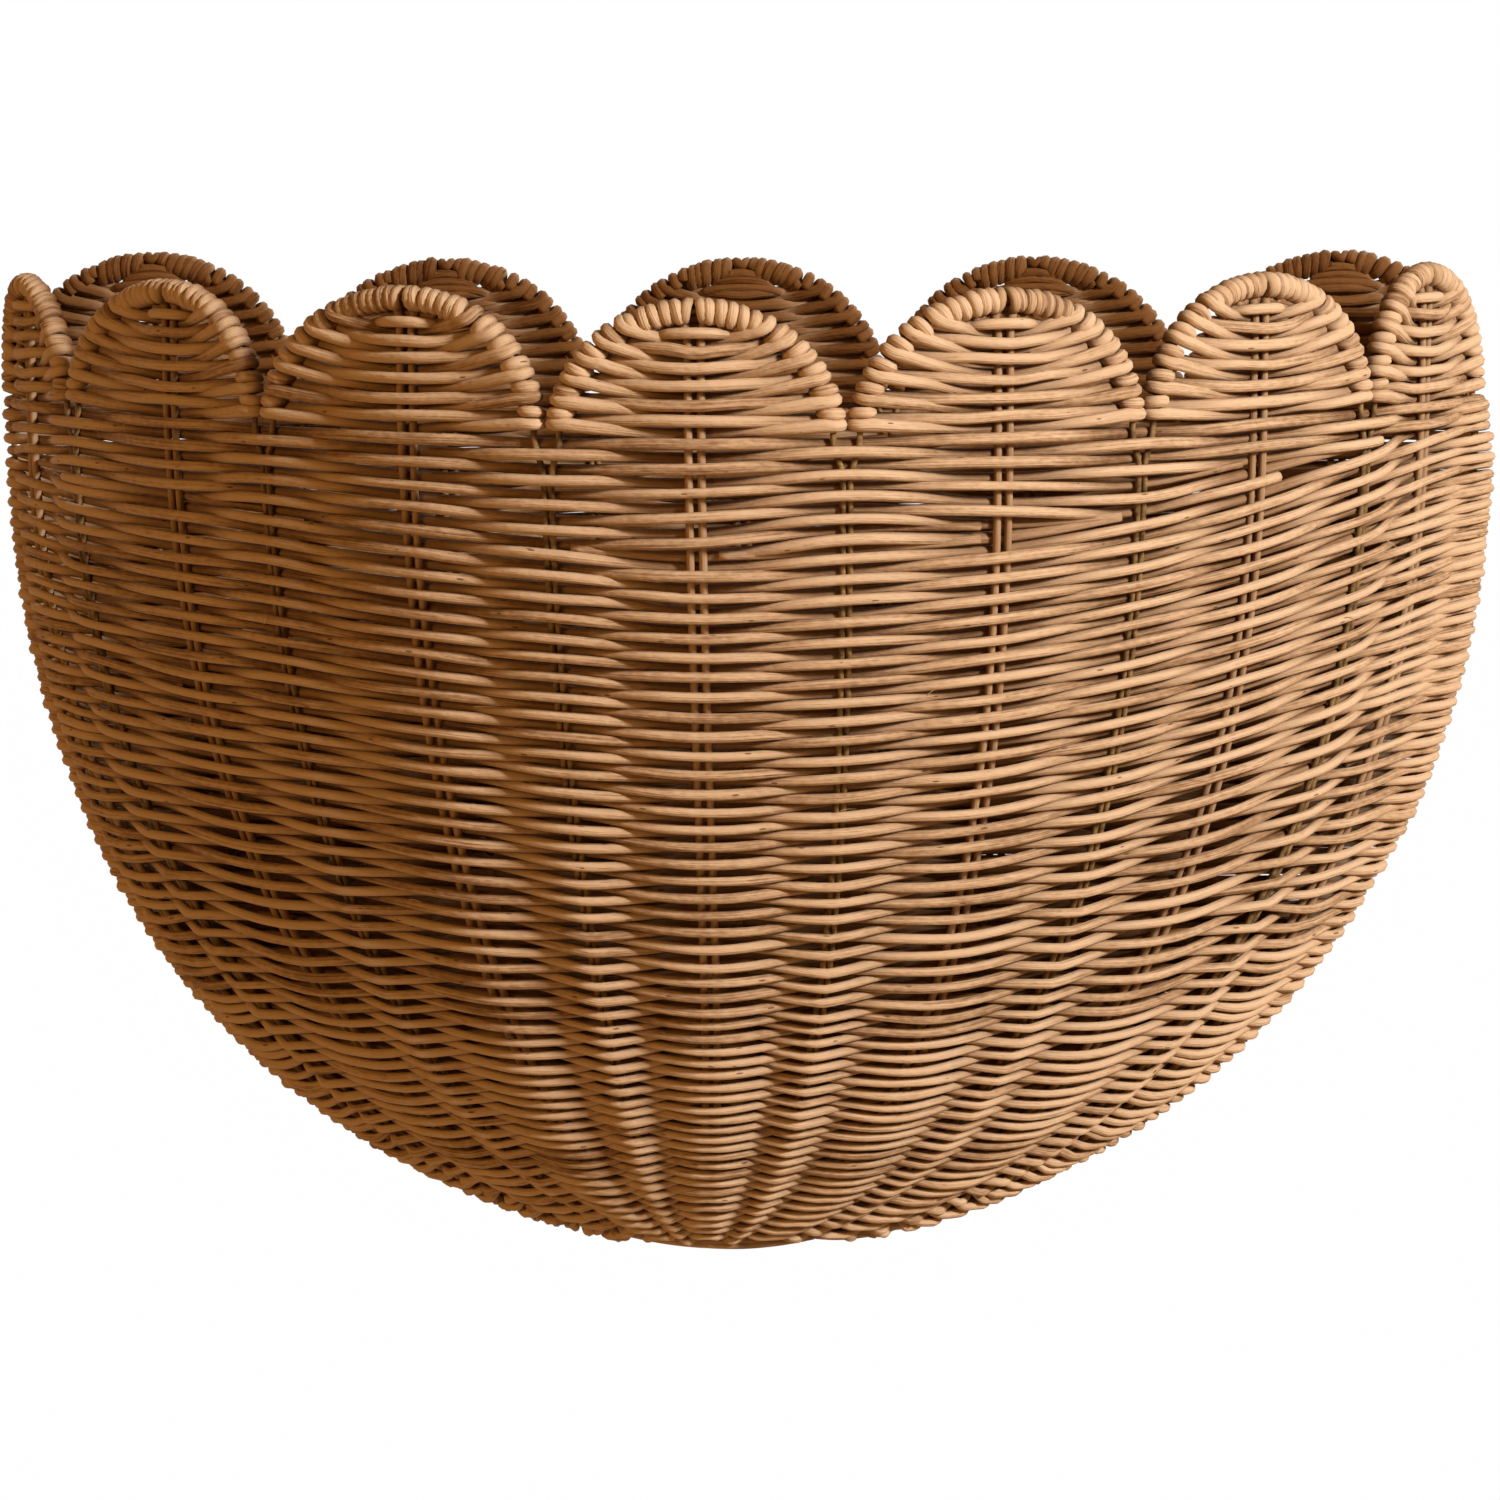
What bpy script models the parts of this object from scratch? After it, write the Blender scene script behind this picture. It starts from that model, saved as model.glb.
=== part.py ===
"""Scalloped half-bowl wall basket, woven in rattan over bent wire arches.

Units are metres and +Z is up. The wall is the plane y = 0 and the bowl swells towards -Y. The origin
lies on the wall face, midway between the two corners, at the height of the notches between the scallops.
"""

import math

import bmesh
import bpy
import numpy as np
from mathutils import Vector

# Bowl, measured to the middle of the stakes
HALF_WIDTH = 0.187
DEPTH = 0.143
DROP = 0.222
WIDTH_FALL_POWER = 2.36
WIDTH_ROUND_POWER = 0.516
DEPTH_FALL_POWER = 1.35
DEPTH_ROUND_POWER = 0.90
PLAN_ROUND_POWER = 0.90

# Scallops
FRONT_SCALLOP_SHARES = (0.093, 0.170, 0.156, 0.137, 0.156, 0.157, 0.131)
BACK_SCALLOP_SHARES = (0.2, 0.2, 0.2, 0.2, 0.2)
FRONT_ARCH_RISE = 0.0305
BACK_ARCH_RISE = 0.0320

# Rods and strands
WIRE_DIAMETER = 0.0015
STAKE_DIAMETER = 0.0019
STAKE_SPACING = 0.0028
STRAND_DIAMETER = 0.0020
SEAT_GAP = 0.0003

# Woven walls
FRONT_WALL_THICKNESS = 0.0020
BACK_WALL_THICKNESS = 0.0022
RIDGE_HEIGHT = 0.0022
EDGE_GAP_AT_TOP = 0.0042
EDGE_GAP_AT_SIDE = 0.0016
NOTCH_DROP = 0.0012
LEAST_ROW_STEP = 0.0030
OUTLINE_MARGIN = 0.0031

# Wound rim
WRAP_TURNS = 11
WRAP_GAP = 0.00055
POINTS_A_TURN = 8

# Lower end of the front wall, as a share of the drop
WALL_END_SHARE = 0.985

# Base bundle and hanging eyes
BUNDLE_DIAMETER = 0.0052
BUNDLE_TIP_DIAMETER = 0.0016
BUNDLE_HALF_LENGTH = 0.027
EYE_DIAMETER = 0.0070
EYE_SEGMENTS = 16
CUTTER_OVERRUN = 0.0020

# Levels of the wall's rows and of the rods' points, and columns across half a scallop
FRONT_LEVEL_SHARES = (0, 0.06, 0.16, 0.30, 0.45, 0.60, 0.74, 0.86, 0.94, 0.975)
BACK_LEVEL_SHARES = (0, 0.20, 0.40, 0.60, 0.80, 0.92, 0.975)
HALF_COLUMN_SHARES = (0, 0.20, 0.45, 0.72, 0.90, 1)
RIDGE_FLAT_SHARE = 0.4
ARCH_STEPS = 12
HAIRPIN_STEPS = 4
OUTLINE_STEPS = 36
PLAN_SAMPLES = 1500
SLOPE_STEP_SHARE = 0.002
WELD_SHARE = 0.01

WIRE_RADIUS = WIRE_DIAMETER / 2
STAKE_RADIUS = STAKE_DIAMETER / 2
STRAND_RADIUS = STRAND_DIAMETER / 2
LEG_INSET = WIRE_RADIUS + SEAT_GAP / 2
WRAP_RADIUS = WIRE_RADIUS + SEAT_GAP + STRAND_RADIUS
WRAP_SETBACK = WRAP_RADIUS + STRAND_RADIUS + SEAT_GAP
BACK_WIRE_SETBACK = max(BACK_WALL_THICKNESS + SEAT_GAP + WIRE_RADIUS, WRAP_SETBACK)
BACK_STAKE_SETBACK = BACK_WALL_THICKNESS + SEAT_GAP + STAKE_RADIUS
CORNER_SETBACK = BACK_WIRE_SETBACK + WIRE_RADIUS + SEAT_GAP
BUNDLE_SETBACK = BACK_WALL_THICKNESS + SEAT_GAP + BUNDLE_DIAMETER / 2
RIDGE_LIFT = STAKE_RADIUS + SEAT_GAP

MILLIMETRES = 1000
PARTS = "wall_basket"
CUTTERS = "cutters"


def clear_scene():
    for obj in list(bpy.data.objects):
        bpy.data.objects.remove(obj, do_unlink=True)


def new_collection(name):
    collection = bpy.data.collections.new(name)
    bpy.context.scene.collection.children.link(collection)
    return collection


def material(name, colour, roughness, metallic=0.0):
    made = bpy.data.materials.new(name)
    made.use_nodes = True
    shader = made.node_tree.nodes["Principled BSDF"]
    shader.inputs["Base Color"].default_value = (*colour, 1)
    shader.inputs["Roughness"].default_value = roughness
    shader.inputs["Metallic"].default_value = metallic
    return made


def rim_plan():
    """The rim's plan curve: its lengths from the left corner, and x and depth there."""
    turn = np.linspace(0, math.pi, PLAN_SAMPLES)
    x = -HALF_WIDTH * np.cos(turn)
    y = (DEPTH - CORNER_SETBACK) * np.sin(turn) ** (2 * PLAN_ROUND_POWER)
    lengths = np.concatenate([[0], np.cumsum(np.hypot(np.diff(x), np.diff(y)))])
    return lengths, x, y


RIM_LENGTHS, RIM_X, RIM_Y = rim_plan()
RIM_LENGTH = float(RIM_LENGTHS[-1])


def swell(down, fall_power, round_power):
    """How much of the rim's width or depth is left at a share of the drop."""
    return (1 - min(max(down, 0), 1) ** fall_power) ** round_power


def width_left(down):
    return swell(down, WIDTH_FALL_POWER, WIDTH_ROUND_POWER)


def depth_left(down):
    return swell(down, DEPTH_FALL_POWER, DEPTH_ROUND_POWER)


def front_place(along, height):
    """A point on the front's middle surface: along is a share of the rim, height is from the notches."""
    down = -height / DROP
    x = float(np.interp(along * RIM_LENGTH, RIM_LENGTHS, RIM_X))
    y = float(np.interp(along * RIM_LENGTH, RIM_LENGTHS, RIM_Y))
    return Vector((x * width_left(down), -CORNER_SETBACK - y * depth_left(down), height))


def front_normal(along, height):
    """The outward direction of the front's middle surface."""
    before = max(along - SLOPE_STEP_SHARE, 0)
    after = min(along + SLOPE_STEP_SHARE, 1)
    across = front_place(after, height) - front_place(before, height)
    step = SLOPE_STEP_SHARE * DROP
    upward = front_place(along, height + step) - front_place(along, height - step)
    return across.cross(upward).normalized()


def front_point(along, height, lift=0.0):
    return front_place(along, height) + front_normal(along, height) * lift


def back_point(along, height, setback):
    """A point in front of the back wall: along is a share of the panel's width."""
    x = (2 * along - 1) * HALF_WIDTH * width_left(-height / DROP)
    return Vector((x, -setback, height))


def spans(shares):
    """(start, end) of each scallop, as shares of the whole row."""
    ends = np.cumsum(shares) / sum(shares)
    return list(zip(np.concatenate([[0], ends[:-1]]), ends))


def link(obj, collection, finish=None):
    collection.objects.link(obj)
    if finish:
        obj.data.materials.append(finish)
    return obj


def tube(name, points, diameter, collection, finish, capped=True):
    """A round rod along points, as a polyline with a bevel."""
    curve = bpy.data.curves.new(name, "CURVE")
    curve.dimensions = "3D"
    curve.bevel_depth = diameter / 2
    curve.bevel_resolution = 1
    curve.use_fill_caps = capped
    spline = curve.splines.new("POLY")
    spline.points.add(len(points) - 1)
    for place, point in zip(spline.points, points):
        place.co = (*point, 1)
        place.radius = 1
    spline.use_smooth = True
    return link(bpy.data.objects.new(name, curve), collection, finish)


def row_stretch(place, line, height):
    """A short stretch of a row, over twice the slope step."""
    near = min(max(line, SLOPE_STEP_SHARE), 1 - SLOPE_STEP_SHARE)
    return place(near + SLOPE_STEP_SHARE, height) - place(near - SLOPE_STEP_SHARE, height)


def sine_between(first, second):
    return first.cross(second).length / (first.length * second.length)


def leg_points(place, line, offset, levels):
    """A leg down the wall beside a line that slants as the bowl narrows, at a steady clear distance."""
    heights = [-DROP * level for level in levels]
    middle = [place(line, height) for height in heights]
    runs = [lower - upper for upper, lower in zip(middle, middle[1:])]
    points = []
    for number, height in enumerate(heights):
        stretch = row_stretch(place, line, height)
        slant = min(sine_between(stretch, run) for run in runs[max(number - 1, 0) : number + 1])
        points.append(place(line + offset * 2 * SLOPE_STEP_SHARE / (stretch.length * slant), height))
    return points


def room_beside(place, line, share, height):
    """The clear distance from a line down the wall to another that is a share of the row away."""
    stretch = row_stretch(place, line, height)
    step = SLOPE_STEP_SHARE * DROP
    run = place(line, height - step) - place(line, height + step)
    return stretch.length * sine_between(stretch, run) * share / (2 * SLOPE_STEP_SHARE)


def levels_with_room(place, span, share, need, levels):
    """The levels, from the top down, at which neighbouring rods still have the room they need."""
    lines = (span[0], sum(span) / 2, span[1])
    kept = []
    for level in levels:
        if level and min(room_beside(place, line, share, -DROP * level) for line in lines) < need:
            break
        kept.append(level)
    return kept


def leg_levels(place, span, levels):
    need = 2 * (WIRE_DIAMETER + SEAT_GAP)
    return levels_with_room(place, span, span[1] - span[0], need, levels)


def stake_levels(place, span, levels):
    need = LEG_INSET + WIRE_DIAMETER + SEAT_GAP + STAKE_DIAMETER + STAKE_SPACING / 2
    return levels_with_room(place, span, (span[1] - span[0]) / 2, need, levels[:-1])


def arch_points(place, span, length, rise, levels):
    """An inverted U: up one leg, over the scallop and down the other leg."""
    left, right = [line + side * LEG_INSET / length for line, side in zip(span, (1, -1))]
    middle, half = (left + right) / 2, (right - left) / 2
    points = leg_points(place, span[0], LEG_INSET, levels)[::-1]
    for step in range(1, ARCH_STEPS):
        turn = math.pi * step / ARCH_STEPS
        points.append(place(middle - half * math.cos(turn), rise * math.sin(turn)))
    return points + leg_points(place, span[1], -LEG_INSET, levels)


def hairpin_points(place, span, length, rise, levels):
    """A stake folded in two: both legs run down the middle of the scallop, and the bend is at the top."""
    middle = sum(span) / 2
    bend_radius = STAKE_SPACING / 2
    top = rise - WRAP_SETBACK - STAKE_RADIUS - bend_radius
    points = leg_points(place, middle, -bend_radius, levels)[::-1]
    for step in range(HAIRPIN_STEPS + 1):
        turn = math.pi * step / HAIRPIN_STEPS
        across = -bend_radius * math.cos(turn) / length
        points.append(place(middle + across, top + bend_radius * math.sin(turn)))
    return points + leg_points(place, middle, bend_radius, levels)


def ease(share):
    share = min(max(share, 0), 1)
    return share * share * (3 - 2 * share)


def ridge_lift(across, half_width, down):
    """Lift of the wall's inner face: highest over the rods, and lowest midway between them.

    across runs from -1 to 1 over a scallop, which has rods at -1, 0 and 1.
    """
    from_rod = 1 - abs(2 * abs(across) - 1)
    rod_room = STAKE_SPACING / 2 + STAKE_RADIUS + SEAT_GAP
    half_span = half_width / 2
    room = max(half_span * width_left(down) - rod_room, 0) / half_span
    fall = ease((from_rod - RIDGE_FLAT_SHARE) / (1 - RIDGE_FLAT_SHARE))
    return RIDGE_LIFT - RIDGE_HEIGHT * room * fall


def wall_edge(across, half_width, rise):
    """Height of the woven wall's upper edge across a scallop, inside its arch."""
    inner_half = half_width - LEG_INSET - EDGE_GAP_AT_SIDE
    reach = across * half_width / inner_half
    if abs(reach) >= 1:
        return -NOTCH_DROP
    return max((rise - EDGE_GAP_AT_TOP) * math.sqrt(1 - reach * reach), -NOTCH_DROP)


def front_columns():
    """(share along the rim, across the scallop, the scallop's half width) of each column."""
    columns = []
    for start, end in spans(FRONT_SCALLOP_SHARES):
        half = (end - start) / 2
        right = list(HALF_COLUMN_SHARES)
        steps = [-share for share in reversed(right[1:])] + right
        if columns:
            steps = steps[1:]
        for across in steps:
            columns.append((start + half + across * half, across, half * RIM_LENGTH))
    return columns


def front_wall(collection, finish):
    """The front's woven wall, ridged over every stake, as one sheet with its thickness outside."""
    columns = front_columns()
    levels = (*FRONT_LEVEL_SHARES, WALL_END_SHARE)
    mesh = bmesh.new()
    bmesh.ops.create_grid(mesh, x_segments=len(columns) - 1, y_segments=len(levels), size=1)
    for vert in mesh.verts:
        column = round((vert.co.x + 1) / 2 * (len(columns) - 1))
        row = round((1 - vert.co.y) / 2 * len(levels))
        along, across, half_width = columns[column]
        edge = wall_edge(across, half_width, FRONT_ARCH_RISE)
        height = edge
        if row > 0:
            height = min(-DROP * levels[row - 1], edge - row * LEAST_ROW_STEP)
        vert.co = front_point(along, height, ridge_lift(across, half_width, -height / DROP))
    data = bpy.data.meshes.new("front_woven_wall")
    mesh.to_mesh(data)
    mesh.free()
    wall = link(bpy.data.objects.new("front_woven_wall", data), collection, finish)
    thick = wall.modifiers.new("thickness", "SOLIDIFY")
    thick.thickness = FRONT_WALL_THICKNESS
    thick.offset = 1
    data.shade_smooth()
    return wall


def back_outline():
    """The back wall's outline: round the bowl, then over its scallops."""
    points = []
    for step in range(OUTLINE_STEPS + 1):
        turn = math.pi * step / OUTLINE_STEPS
        down = math.sin(turn)
        side = -1 if turn < math.pi / 2 else 1
        x = side * HALF_WIDTH * width_left(down)
        slope = Vector((x, -HALF_WIDTH * down))
        away = slope.normalized() * OUTLINE_MARGIN
        points.append((x + away.x, -DROP * down + away.y))
    for start, end in reversed(spans(BACK_SCALLOP_SHARES)):
        half = (end - start) * HALF_WIDTH
        centre = ((start + end) - 1) * HALF_WIDTH
        inner_half = half - LEG_INSET - EDGE_GAP_AT_SIDE
        for step in range(ARCH_STEPS + 1):
            turn = math.pi * step / ARCH_STEPS
            x = centre + inner_half * math.cos(turn)
            points.append((x, (BACK_ARCH_RISE - EDGE_GAP_AT_TOP) * math.sin(turn) - NOTCH_DROP))
    return points


def eye_cutter(name, x, height, collection):
    """A hole under a back arch's wound rim, where a nail or a hook goes through."""
    mesh = bmesh.new()
    bmesh.ops.create_cone(
        mesh,
        cap_ends=True,
        segments=EYE_SEGMENTS,
        radius1=EYE_DIAMETER / 2,
        radius2=EYE_DIAMETER / 2,
        depth=BACK_WALL_THICKNESS + 2 * CUTTER_OVERRUN,
    )
    data = bpy.data.meshes.new(name)
    mesh.to_mesh(data)
    mesh.free()
    cutter = link(bpy.data.objects.new(name, data), collection)
    cutter.rotation_euler.x = math.pi / 2
    cutter.location = (x, -BACK_WALL_THICKNESS / 2, height)
    cutter.hide_render = True
    cutter.display_type = "WIRE"
    return cutter


def back_wall(collection, cutters, finish):
    """The back's woven wall, flat against the room's wall, as an outline with a thickness."""
    curve = bpy.data.curves.new("back_outline", "CURVE")
    curve.dimensions = "2D"
    curve.fill_mode = "BOTH"
    curve.extrude = BACK_WALL_THICKNESS / 2
    spline = curve.splines.new("POLY")
    points = back_outline()
    spline.points.add(len(points) - 1)
    for place, (x, z) in zip(spline.points, points):
        place.co = (x, z, 0, 1)
    spline.use_cyclic_u = True
    flat = link(bpy.data.objects.new("back_outline", curve), collection)
    flat.rotation_euler.x = math.pi / 2
    flat.location.y = -BACK_WALL_THICKNESS / 2
    bpy.context.view_layer.update()
    graph = bpy.context.evaluated_depsgraph_get()
    data = bpy.data.meshes.new_from_object(flat.evaluated_get(graph))
    data.name = "back_woven_wall"
    welded = bmesh.new()
    welded.from_mesh(data)
    bmesh.ops.remove_doubles(welded, verts=welded.verts, dist=SEAT_GAP * WELD_SHARE)
    welded.to_mesh(data)
    welded.free()
    wall = link(bpy.data.objects.new("back_woven_wall", data), collection, finish)
    wall.matrix_world = flat.matrix_world
    bpy.data.objects.remove(flat, do_unlink=True)
    outer = spans(BACK_SCALLOP_SHARES)
    for name, span in (("left_eye", outer[0]), ("right_eye", outer[-1])):
        centre = (sum(span) - 1) * HALF_WIDTH
        height = BACK_ARCH_RISE - WRAP_SETBACK - EYE_DIAMETER / 2
        cut = wall.modifiers.new(name, "BOOLEAN")
        cut.operation = "DIFFERENCE"
        cut.object = eye_cutter(name, centre, height, cutters)
    return wall


def walk(points):
    """The length of a polyline, and a function that gives the point at a length along it."""
    places = np.array([tuple(point) for point in points])
    lengths = np.concatenate([[0], np.cumsum(np.linalg.norm(np.diff(places, axis=0), axis=1))])

    def at(length):
        return Vector([float(np.interp(length, lengths, places[:, axis])) for axis in range(3)])

    return lengths[-1], at


def least_gap(points, diameter):
    """The least clear distance between one turn of a winding and the next."""
    places = np.array([tuple(point) for point in points])
    gap = float("inf")
    for index in range(len(places) - POINTS_A_TURN // 2):
        later = places[index + POINTS_A_TURN // 2 :]
        gap = min(gap, float(np.linalg.norm(later - places[index], axis=1).min()) - diameter)
    return gap


def wrap_pitch(span, length, rise):
    """The pitch at the wire that leaves the gap between turns at the inside of the arch's crown."""
    half = (span[1] - span[0]) * length / 2 - LEG_INSET
    crown_radius = half * half / rise
    return (STRAND_DIAMETER + WRAP_GAP) / (1 - WRAP_RADIUS / crown_radius)


def wrap_points(wire, pitch):
    """A close helix about the crown of an arch."""
    length, at = walk(wire)
    start = length / 2 - WRAP_TURNS * pitch / 2
    points = []
    for step in range(WRAP_TURNS * POINTS_A_TURN + 1):
        turn = 2 * math.pi * step / POINTS_A_TURN
        along = start + pitch * step / POINTS_A_TURN
        ahead = (at(along + pitch) - at(along - pitch)).normalized()
        outward = Vector((ahead.y, -ahead.x, 0)).normalized()
        upward = outward.cross(ahead)
        points.append(at(along) + (outward * math.cos(turn) + upward * math.sin(turn)) * WRAP_RADIUS)
    return points


def rim_sleeve(name, wire, pitch, collection, finish):
    """A back arch's wound rim as a plain hollow sleeve round the wire."""
    length, at = walk(wire)
    half = WRAP_TURNS * pitch / 2
    steps = POINTS_A_TURN
    points = [at(length / 2 - half + 2 * half * step / steps) for step in range(steps + 1)]
    sleeve = tube(name, points, 2 * (WRAP_RADIUS + STRAND_RADIUS), collection, finish, capped=False)
    thick = sleeve.modifiers.new("thickness", "SOLIDIFY")
    thick.thickness = STRAND_DIAMETER
    thick.offset = -1
    return sleeve


def base_bundle(collection, finish):
    """The bound strand ends that close the bottom of the bowl, thick in the middle and thin at the tips."""
    curve = bpy.data.curves.new("base_bundle", "CURVE")
    curve.dimensions = "3D"
    curve.bevel_depth = BUNDLE_DIAMETER / 2
    curve.bevel_resolution = 2
    curve.use_fill_caps = True
    spline = curve.splines.new("POLY")
    spline.points.add(POINTS_A_TURN)
    for step, place in enumerate(spline.points):
        share = 2 * step / POINTS_A_TURN - 1
        x = share * BUNDLE_HALF_LENGTH
        down = (1 - abs(x / HALF_WIDTH) ** (1 / WIDTH_ROUND_POWER)) ** (1 / WIDTH_FALL_POWER)
        place.co = (x, -BUNDLE_SETBACK, -DROP * down, 1)
        place.radius = 1 - share * share * (1 - BUNDLE_TIP_DIAMETER / BUNDLE_DIAMETER)
    return link(bpy.data.objects.new("base_bundle", curve), collection, finish)


def front_rim(parts, wire_finish, stake_finish, strand_finish):
    for number, span in enumerate(spans(FRONT_SCALLOP_SHARES), 1):
        levels = leg_levels(front_point, span, FRONT_LEVEL_SHARES)
        wire = arch_points(front_point, span, RIM_LENGTH, FRONT_ARCH_RISE, levels)
        tube(f"front_arch_wire_{number}", wire, WIRE_DIAMETER, parts, wire_finish)
        levels = stake_levels(front_point, span, FRONT_LEVEL_SHARES)
        stake = hairpin_points(front_point, span, RIM_LENGTH, FRONT_ARCH_RISE, levels)
        tube(f"front_hairpin_stake_{number}", stake, STAKE_DIAMETER, parts, stake_finish)
        turns = wrap_points(wire, wrap_pitch(span, RIM_LENGTH, FRONT_ARCH_RISE))
        gap = least_gap(turns, STRAND_DIAMETER) * MILLIMETRES
        print(f"front_rim_wrap_{number}: least gap to itself {gap:.2f} mm")
        tube(f"front_rim_wrap_{number}", turns, STRAND_DIAMETER, parts, strand_finish)


def back_rim(parts, wire_finish, stake_finish, strand_finish):
    def wire_place(along, height):
        return back_point(along, height, BACK_WIRE_SETBACK)

    def stake_place(along, height):
        return back_point(along, height, BACK_STAKE_SETBACK)

    for number, span in enumerate(spans(BACK_SCALLOP_SHARES), 1):
        levels = leg_levels(wire_place, span, BACK_LEVEL_SHARES)
        wire = arch_points(wire_place, span, 2 * HALF_WIDTH, BACK_ARCH_RISE, levels)
        tube(f"back_arch_wire_{number}", wire, WIRE_DIAMETER, parts, wire_finish)
        levels = stake_levels(stake_place, span, BACK_LEVEL_SHARES)
        stake = hairpin_points(stake_place, span, 2 * HALF_WIDTH, BACK_ARCH_RISE, levels)
        tube(f"back_hairpin_stake_{number}", stake, STAKE_DIAMETER, parts, stake_finish)
        pitch = wrap_pitch(span, 2 * HALF_WIDTH, BACK_ARCH_RISE)
        rim_sleeve(f"back_rim_wrap_{number}", wire, pitch, parts, strand_finish)


def build():
    clear_scene()
    parts = new_collection(PARTS)
    cutters = new_collection(CUTTERS)
    weave = material("woven_rattan", (0.47, 0.27, 0.13), 0.55)
    stake = material("rattan_stake", (0.38, 0.21, 0.09), 0.6)
    strand = material("rattan_wrap", (0.55, 0.34, 0.18), 0.5)
    wire = material("lacquered_wire", (0.25, 0.15, 0.08), 0.4, 0.6)
    front_wall(parts, weave)
    back_wall(parts, cutters, weave)
    front_rim(parts, wire, stake, strand)
    back_rim(parts, wire, stake, strand)
    base_bundle(parts, strand)


build()
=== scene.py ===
"""Scalloped half-bowl wall basket of woven rattan: its looks, lights and camera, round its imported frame.

Metres, +Z up. The wall is the plane y = 0, the bowl swells towards -Y, and z = 0 is at the notches.
"""

import math

import bmesh
import bpy
import numpy as np
from mathutils import Matrix, Vector


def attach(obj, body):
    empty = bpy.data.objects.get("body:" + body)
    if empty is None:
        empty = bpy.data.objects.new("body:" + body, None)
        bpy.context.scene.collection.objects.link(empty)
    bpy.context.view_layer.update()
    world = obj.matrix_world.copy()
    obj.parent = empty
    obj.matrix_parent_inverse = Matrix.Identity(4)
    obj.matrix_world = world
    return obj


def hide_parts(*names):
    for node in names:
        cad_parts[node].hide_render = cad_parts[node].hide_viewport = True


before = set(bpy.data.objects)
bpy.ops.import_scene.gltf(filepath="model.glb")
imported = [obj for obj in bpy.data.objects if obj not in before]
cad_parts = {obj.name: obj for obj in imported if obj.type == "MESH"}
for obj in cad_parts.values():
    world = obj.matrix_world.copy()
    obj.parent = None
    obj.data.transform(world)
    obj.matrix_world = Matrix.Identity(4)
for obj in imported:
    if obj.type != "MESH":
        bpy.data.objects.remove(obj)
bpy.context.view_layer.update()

# Camera
# A long lens a little over a metre in front of the basket, slightly above its rim and turned a touch
# to the left, which is where the photograph was taken from.
CAMERA_PLACE = Vector((0.0339, -1.14, 0.0800))
CAMERA_YAW = -0.0281
CAMERA_PITCH = -0.1496
CAMERA_ROLL = 0.0034
CAMERA_LENS = 107.3
CAMERA_SENSOR = 36.0

ahead = Vector((math.sin(CAMERA_YAW), math.cos(CAMERA_YAW), math.tan(CAMERA_PITCH))).normalized()
level = Vector((math.cos(CAMERA_YAW), -math.sin(CAMERA_YAW), 0))
raised = level.cross(ahead)
right = math.cos(CAMERA_ROLL) * level - math.sin(CAMERA_ROLL) * raised
up = math.sin(CAMERA_ROLL) * level + math.cos(CAMERA_ROLL) * raised
camera = bpy.data.objects.new("camera", bpy.data.cameras.new("camera"))
camera.data.lens = CAMERA_LENS
camera.data.sensor_width = CAMERA_SENSOR
camera.matrix_world = Matrix.Translation(CAMERA_PLACE) @ Matrix((right, up, -ahead)).transposed().to_4x4()
bpy.context.scene.collection.objects.link(camera)
bpy.context.scene.camera = camera
bpy.context.scene.view_settings.view_transform = "Standard"


# Floor and background
# A pale studio floor well below the hanging basket, and an even white surround. The camera sees both
# as white, apart from the shadow on the floor, and they light the basket as a dim, warm room would.
class Value:
    """A shader socket that adds its own Math nodes when it is used in an expression."""

    def __init__(self, finish, socket):
        self.finish = finish
        self.socket = socket

    def math(self, operation, first, second=0.0):
        made = self.finish.node("ShaderNodeMath", {"operation": operation}, {0: first, 1: second})
        return made["Value"]

    def __add__(self, other):
        return self.math("ADD", self, other)

    def __radd__(self, other):
        return self.math("ADD", other, self)

    def __sub__(self, other):
        return self.math("SUBTRACT", self, other)

    def __rsub__(self, other):
        return self.math("SUBTRACT", other, self)

    def __mul__(self, other):
        return self.math("MULTIPLY", self, other)

    def __rmul__(self, other):
        return self.math("MULTIPLY", other, self)

    def __lt__(self, other):
        return self.math("LESS_THAN", self, other)

    def __gt__(self, other):
        return self.math("GREATER_THAN", self, other)

    def __or__(self, other):
        return self.math("MAXIMUM", self, other)


class Outputs:
    """A node's outputs by name, each as a Value."""

    def __init__(self, finish, node):
        self.finish = finish
        self.node = node

    def __getitem__(self, name):
        return Value(self.finish, self.node.outputs[name])


class Finish:
    """A material or world under construction."""

    def __init__(self, owner):
        owner.use_nodes = True
        self.owner = owner
        self.tree = owner.node_tree
        self.tree.nodes.clear()

    def node(self, kind, settings=None, sockets=None):
        made = self.tree.nodes.new(kind)
        for name, value in (settings or {}).items():
            if name == "stops":
                for place, (position, colour) in enumerate(value):
                    if place > 1:
                        made.color_ramp.elements.new(position)
                    made.color_ramp.elements[place].position = position
                    made.color_ramp.elements[place].color = (*colour, 1)
            else:
                setattr(made, name, value)
        for name, value in (sockets or {}).items():
            if isinstance(value, Value):
                self.tree.links.new(value.socket, made.inputs[name])
            else:
                made.inputs[name].default_value = value
        return Outputs(self, made)


def seen_directly(finish):
    """1 for the camera and for what glossy or clear things show of the surround, otherwise 0."""
    path = finish.node("ShaderNodeLightPath")
    return path["Is Camera Ray"] | path["Is Glossy Ray"] | path["Is Transmission Ray"]


FLOOR_DROP = 0.60
FLOOR_SIZE = 12.0
FLOOR_COLOUR = (0.42, 0.29, 0.145)
FLOOR_WHITENESS = 0.995
ROOM_COLOUR = (1.0, 0.46, 0.10)
ROOM_STRENGTH = 0.13
WHITE = (1, 1, 1, 1)

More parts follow.
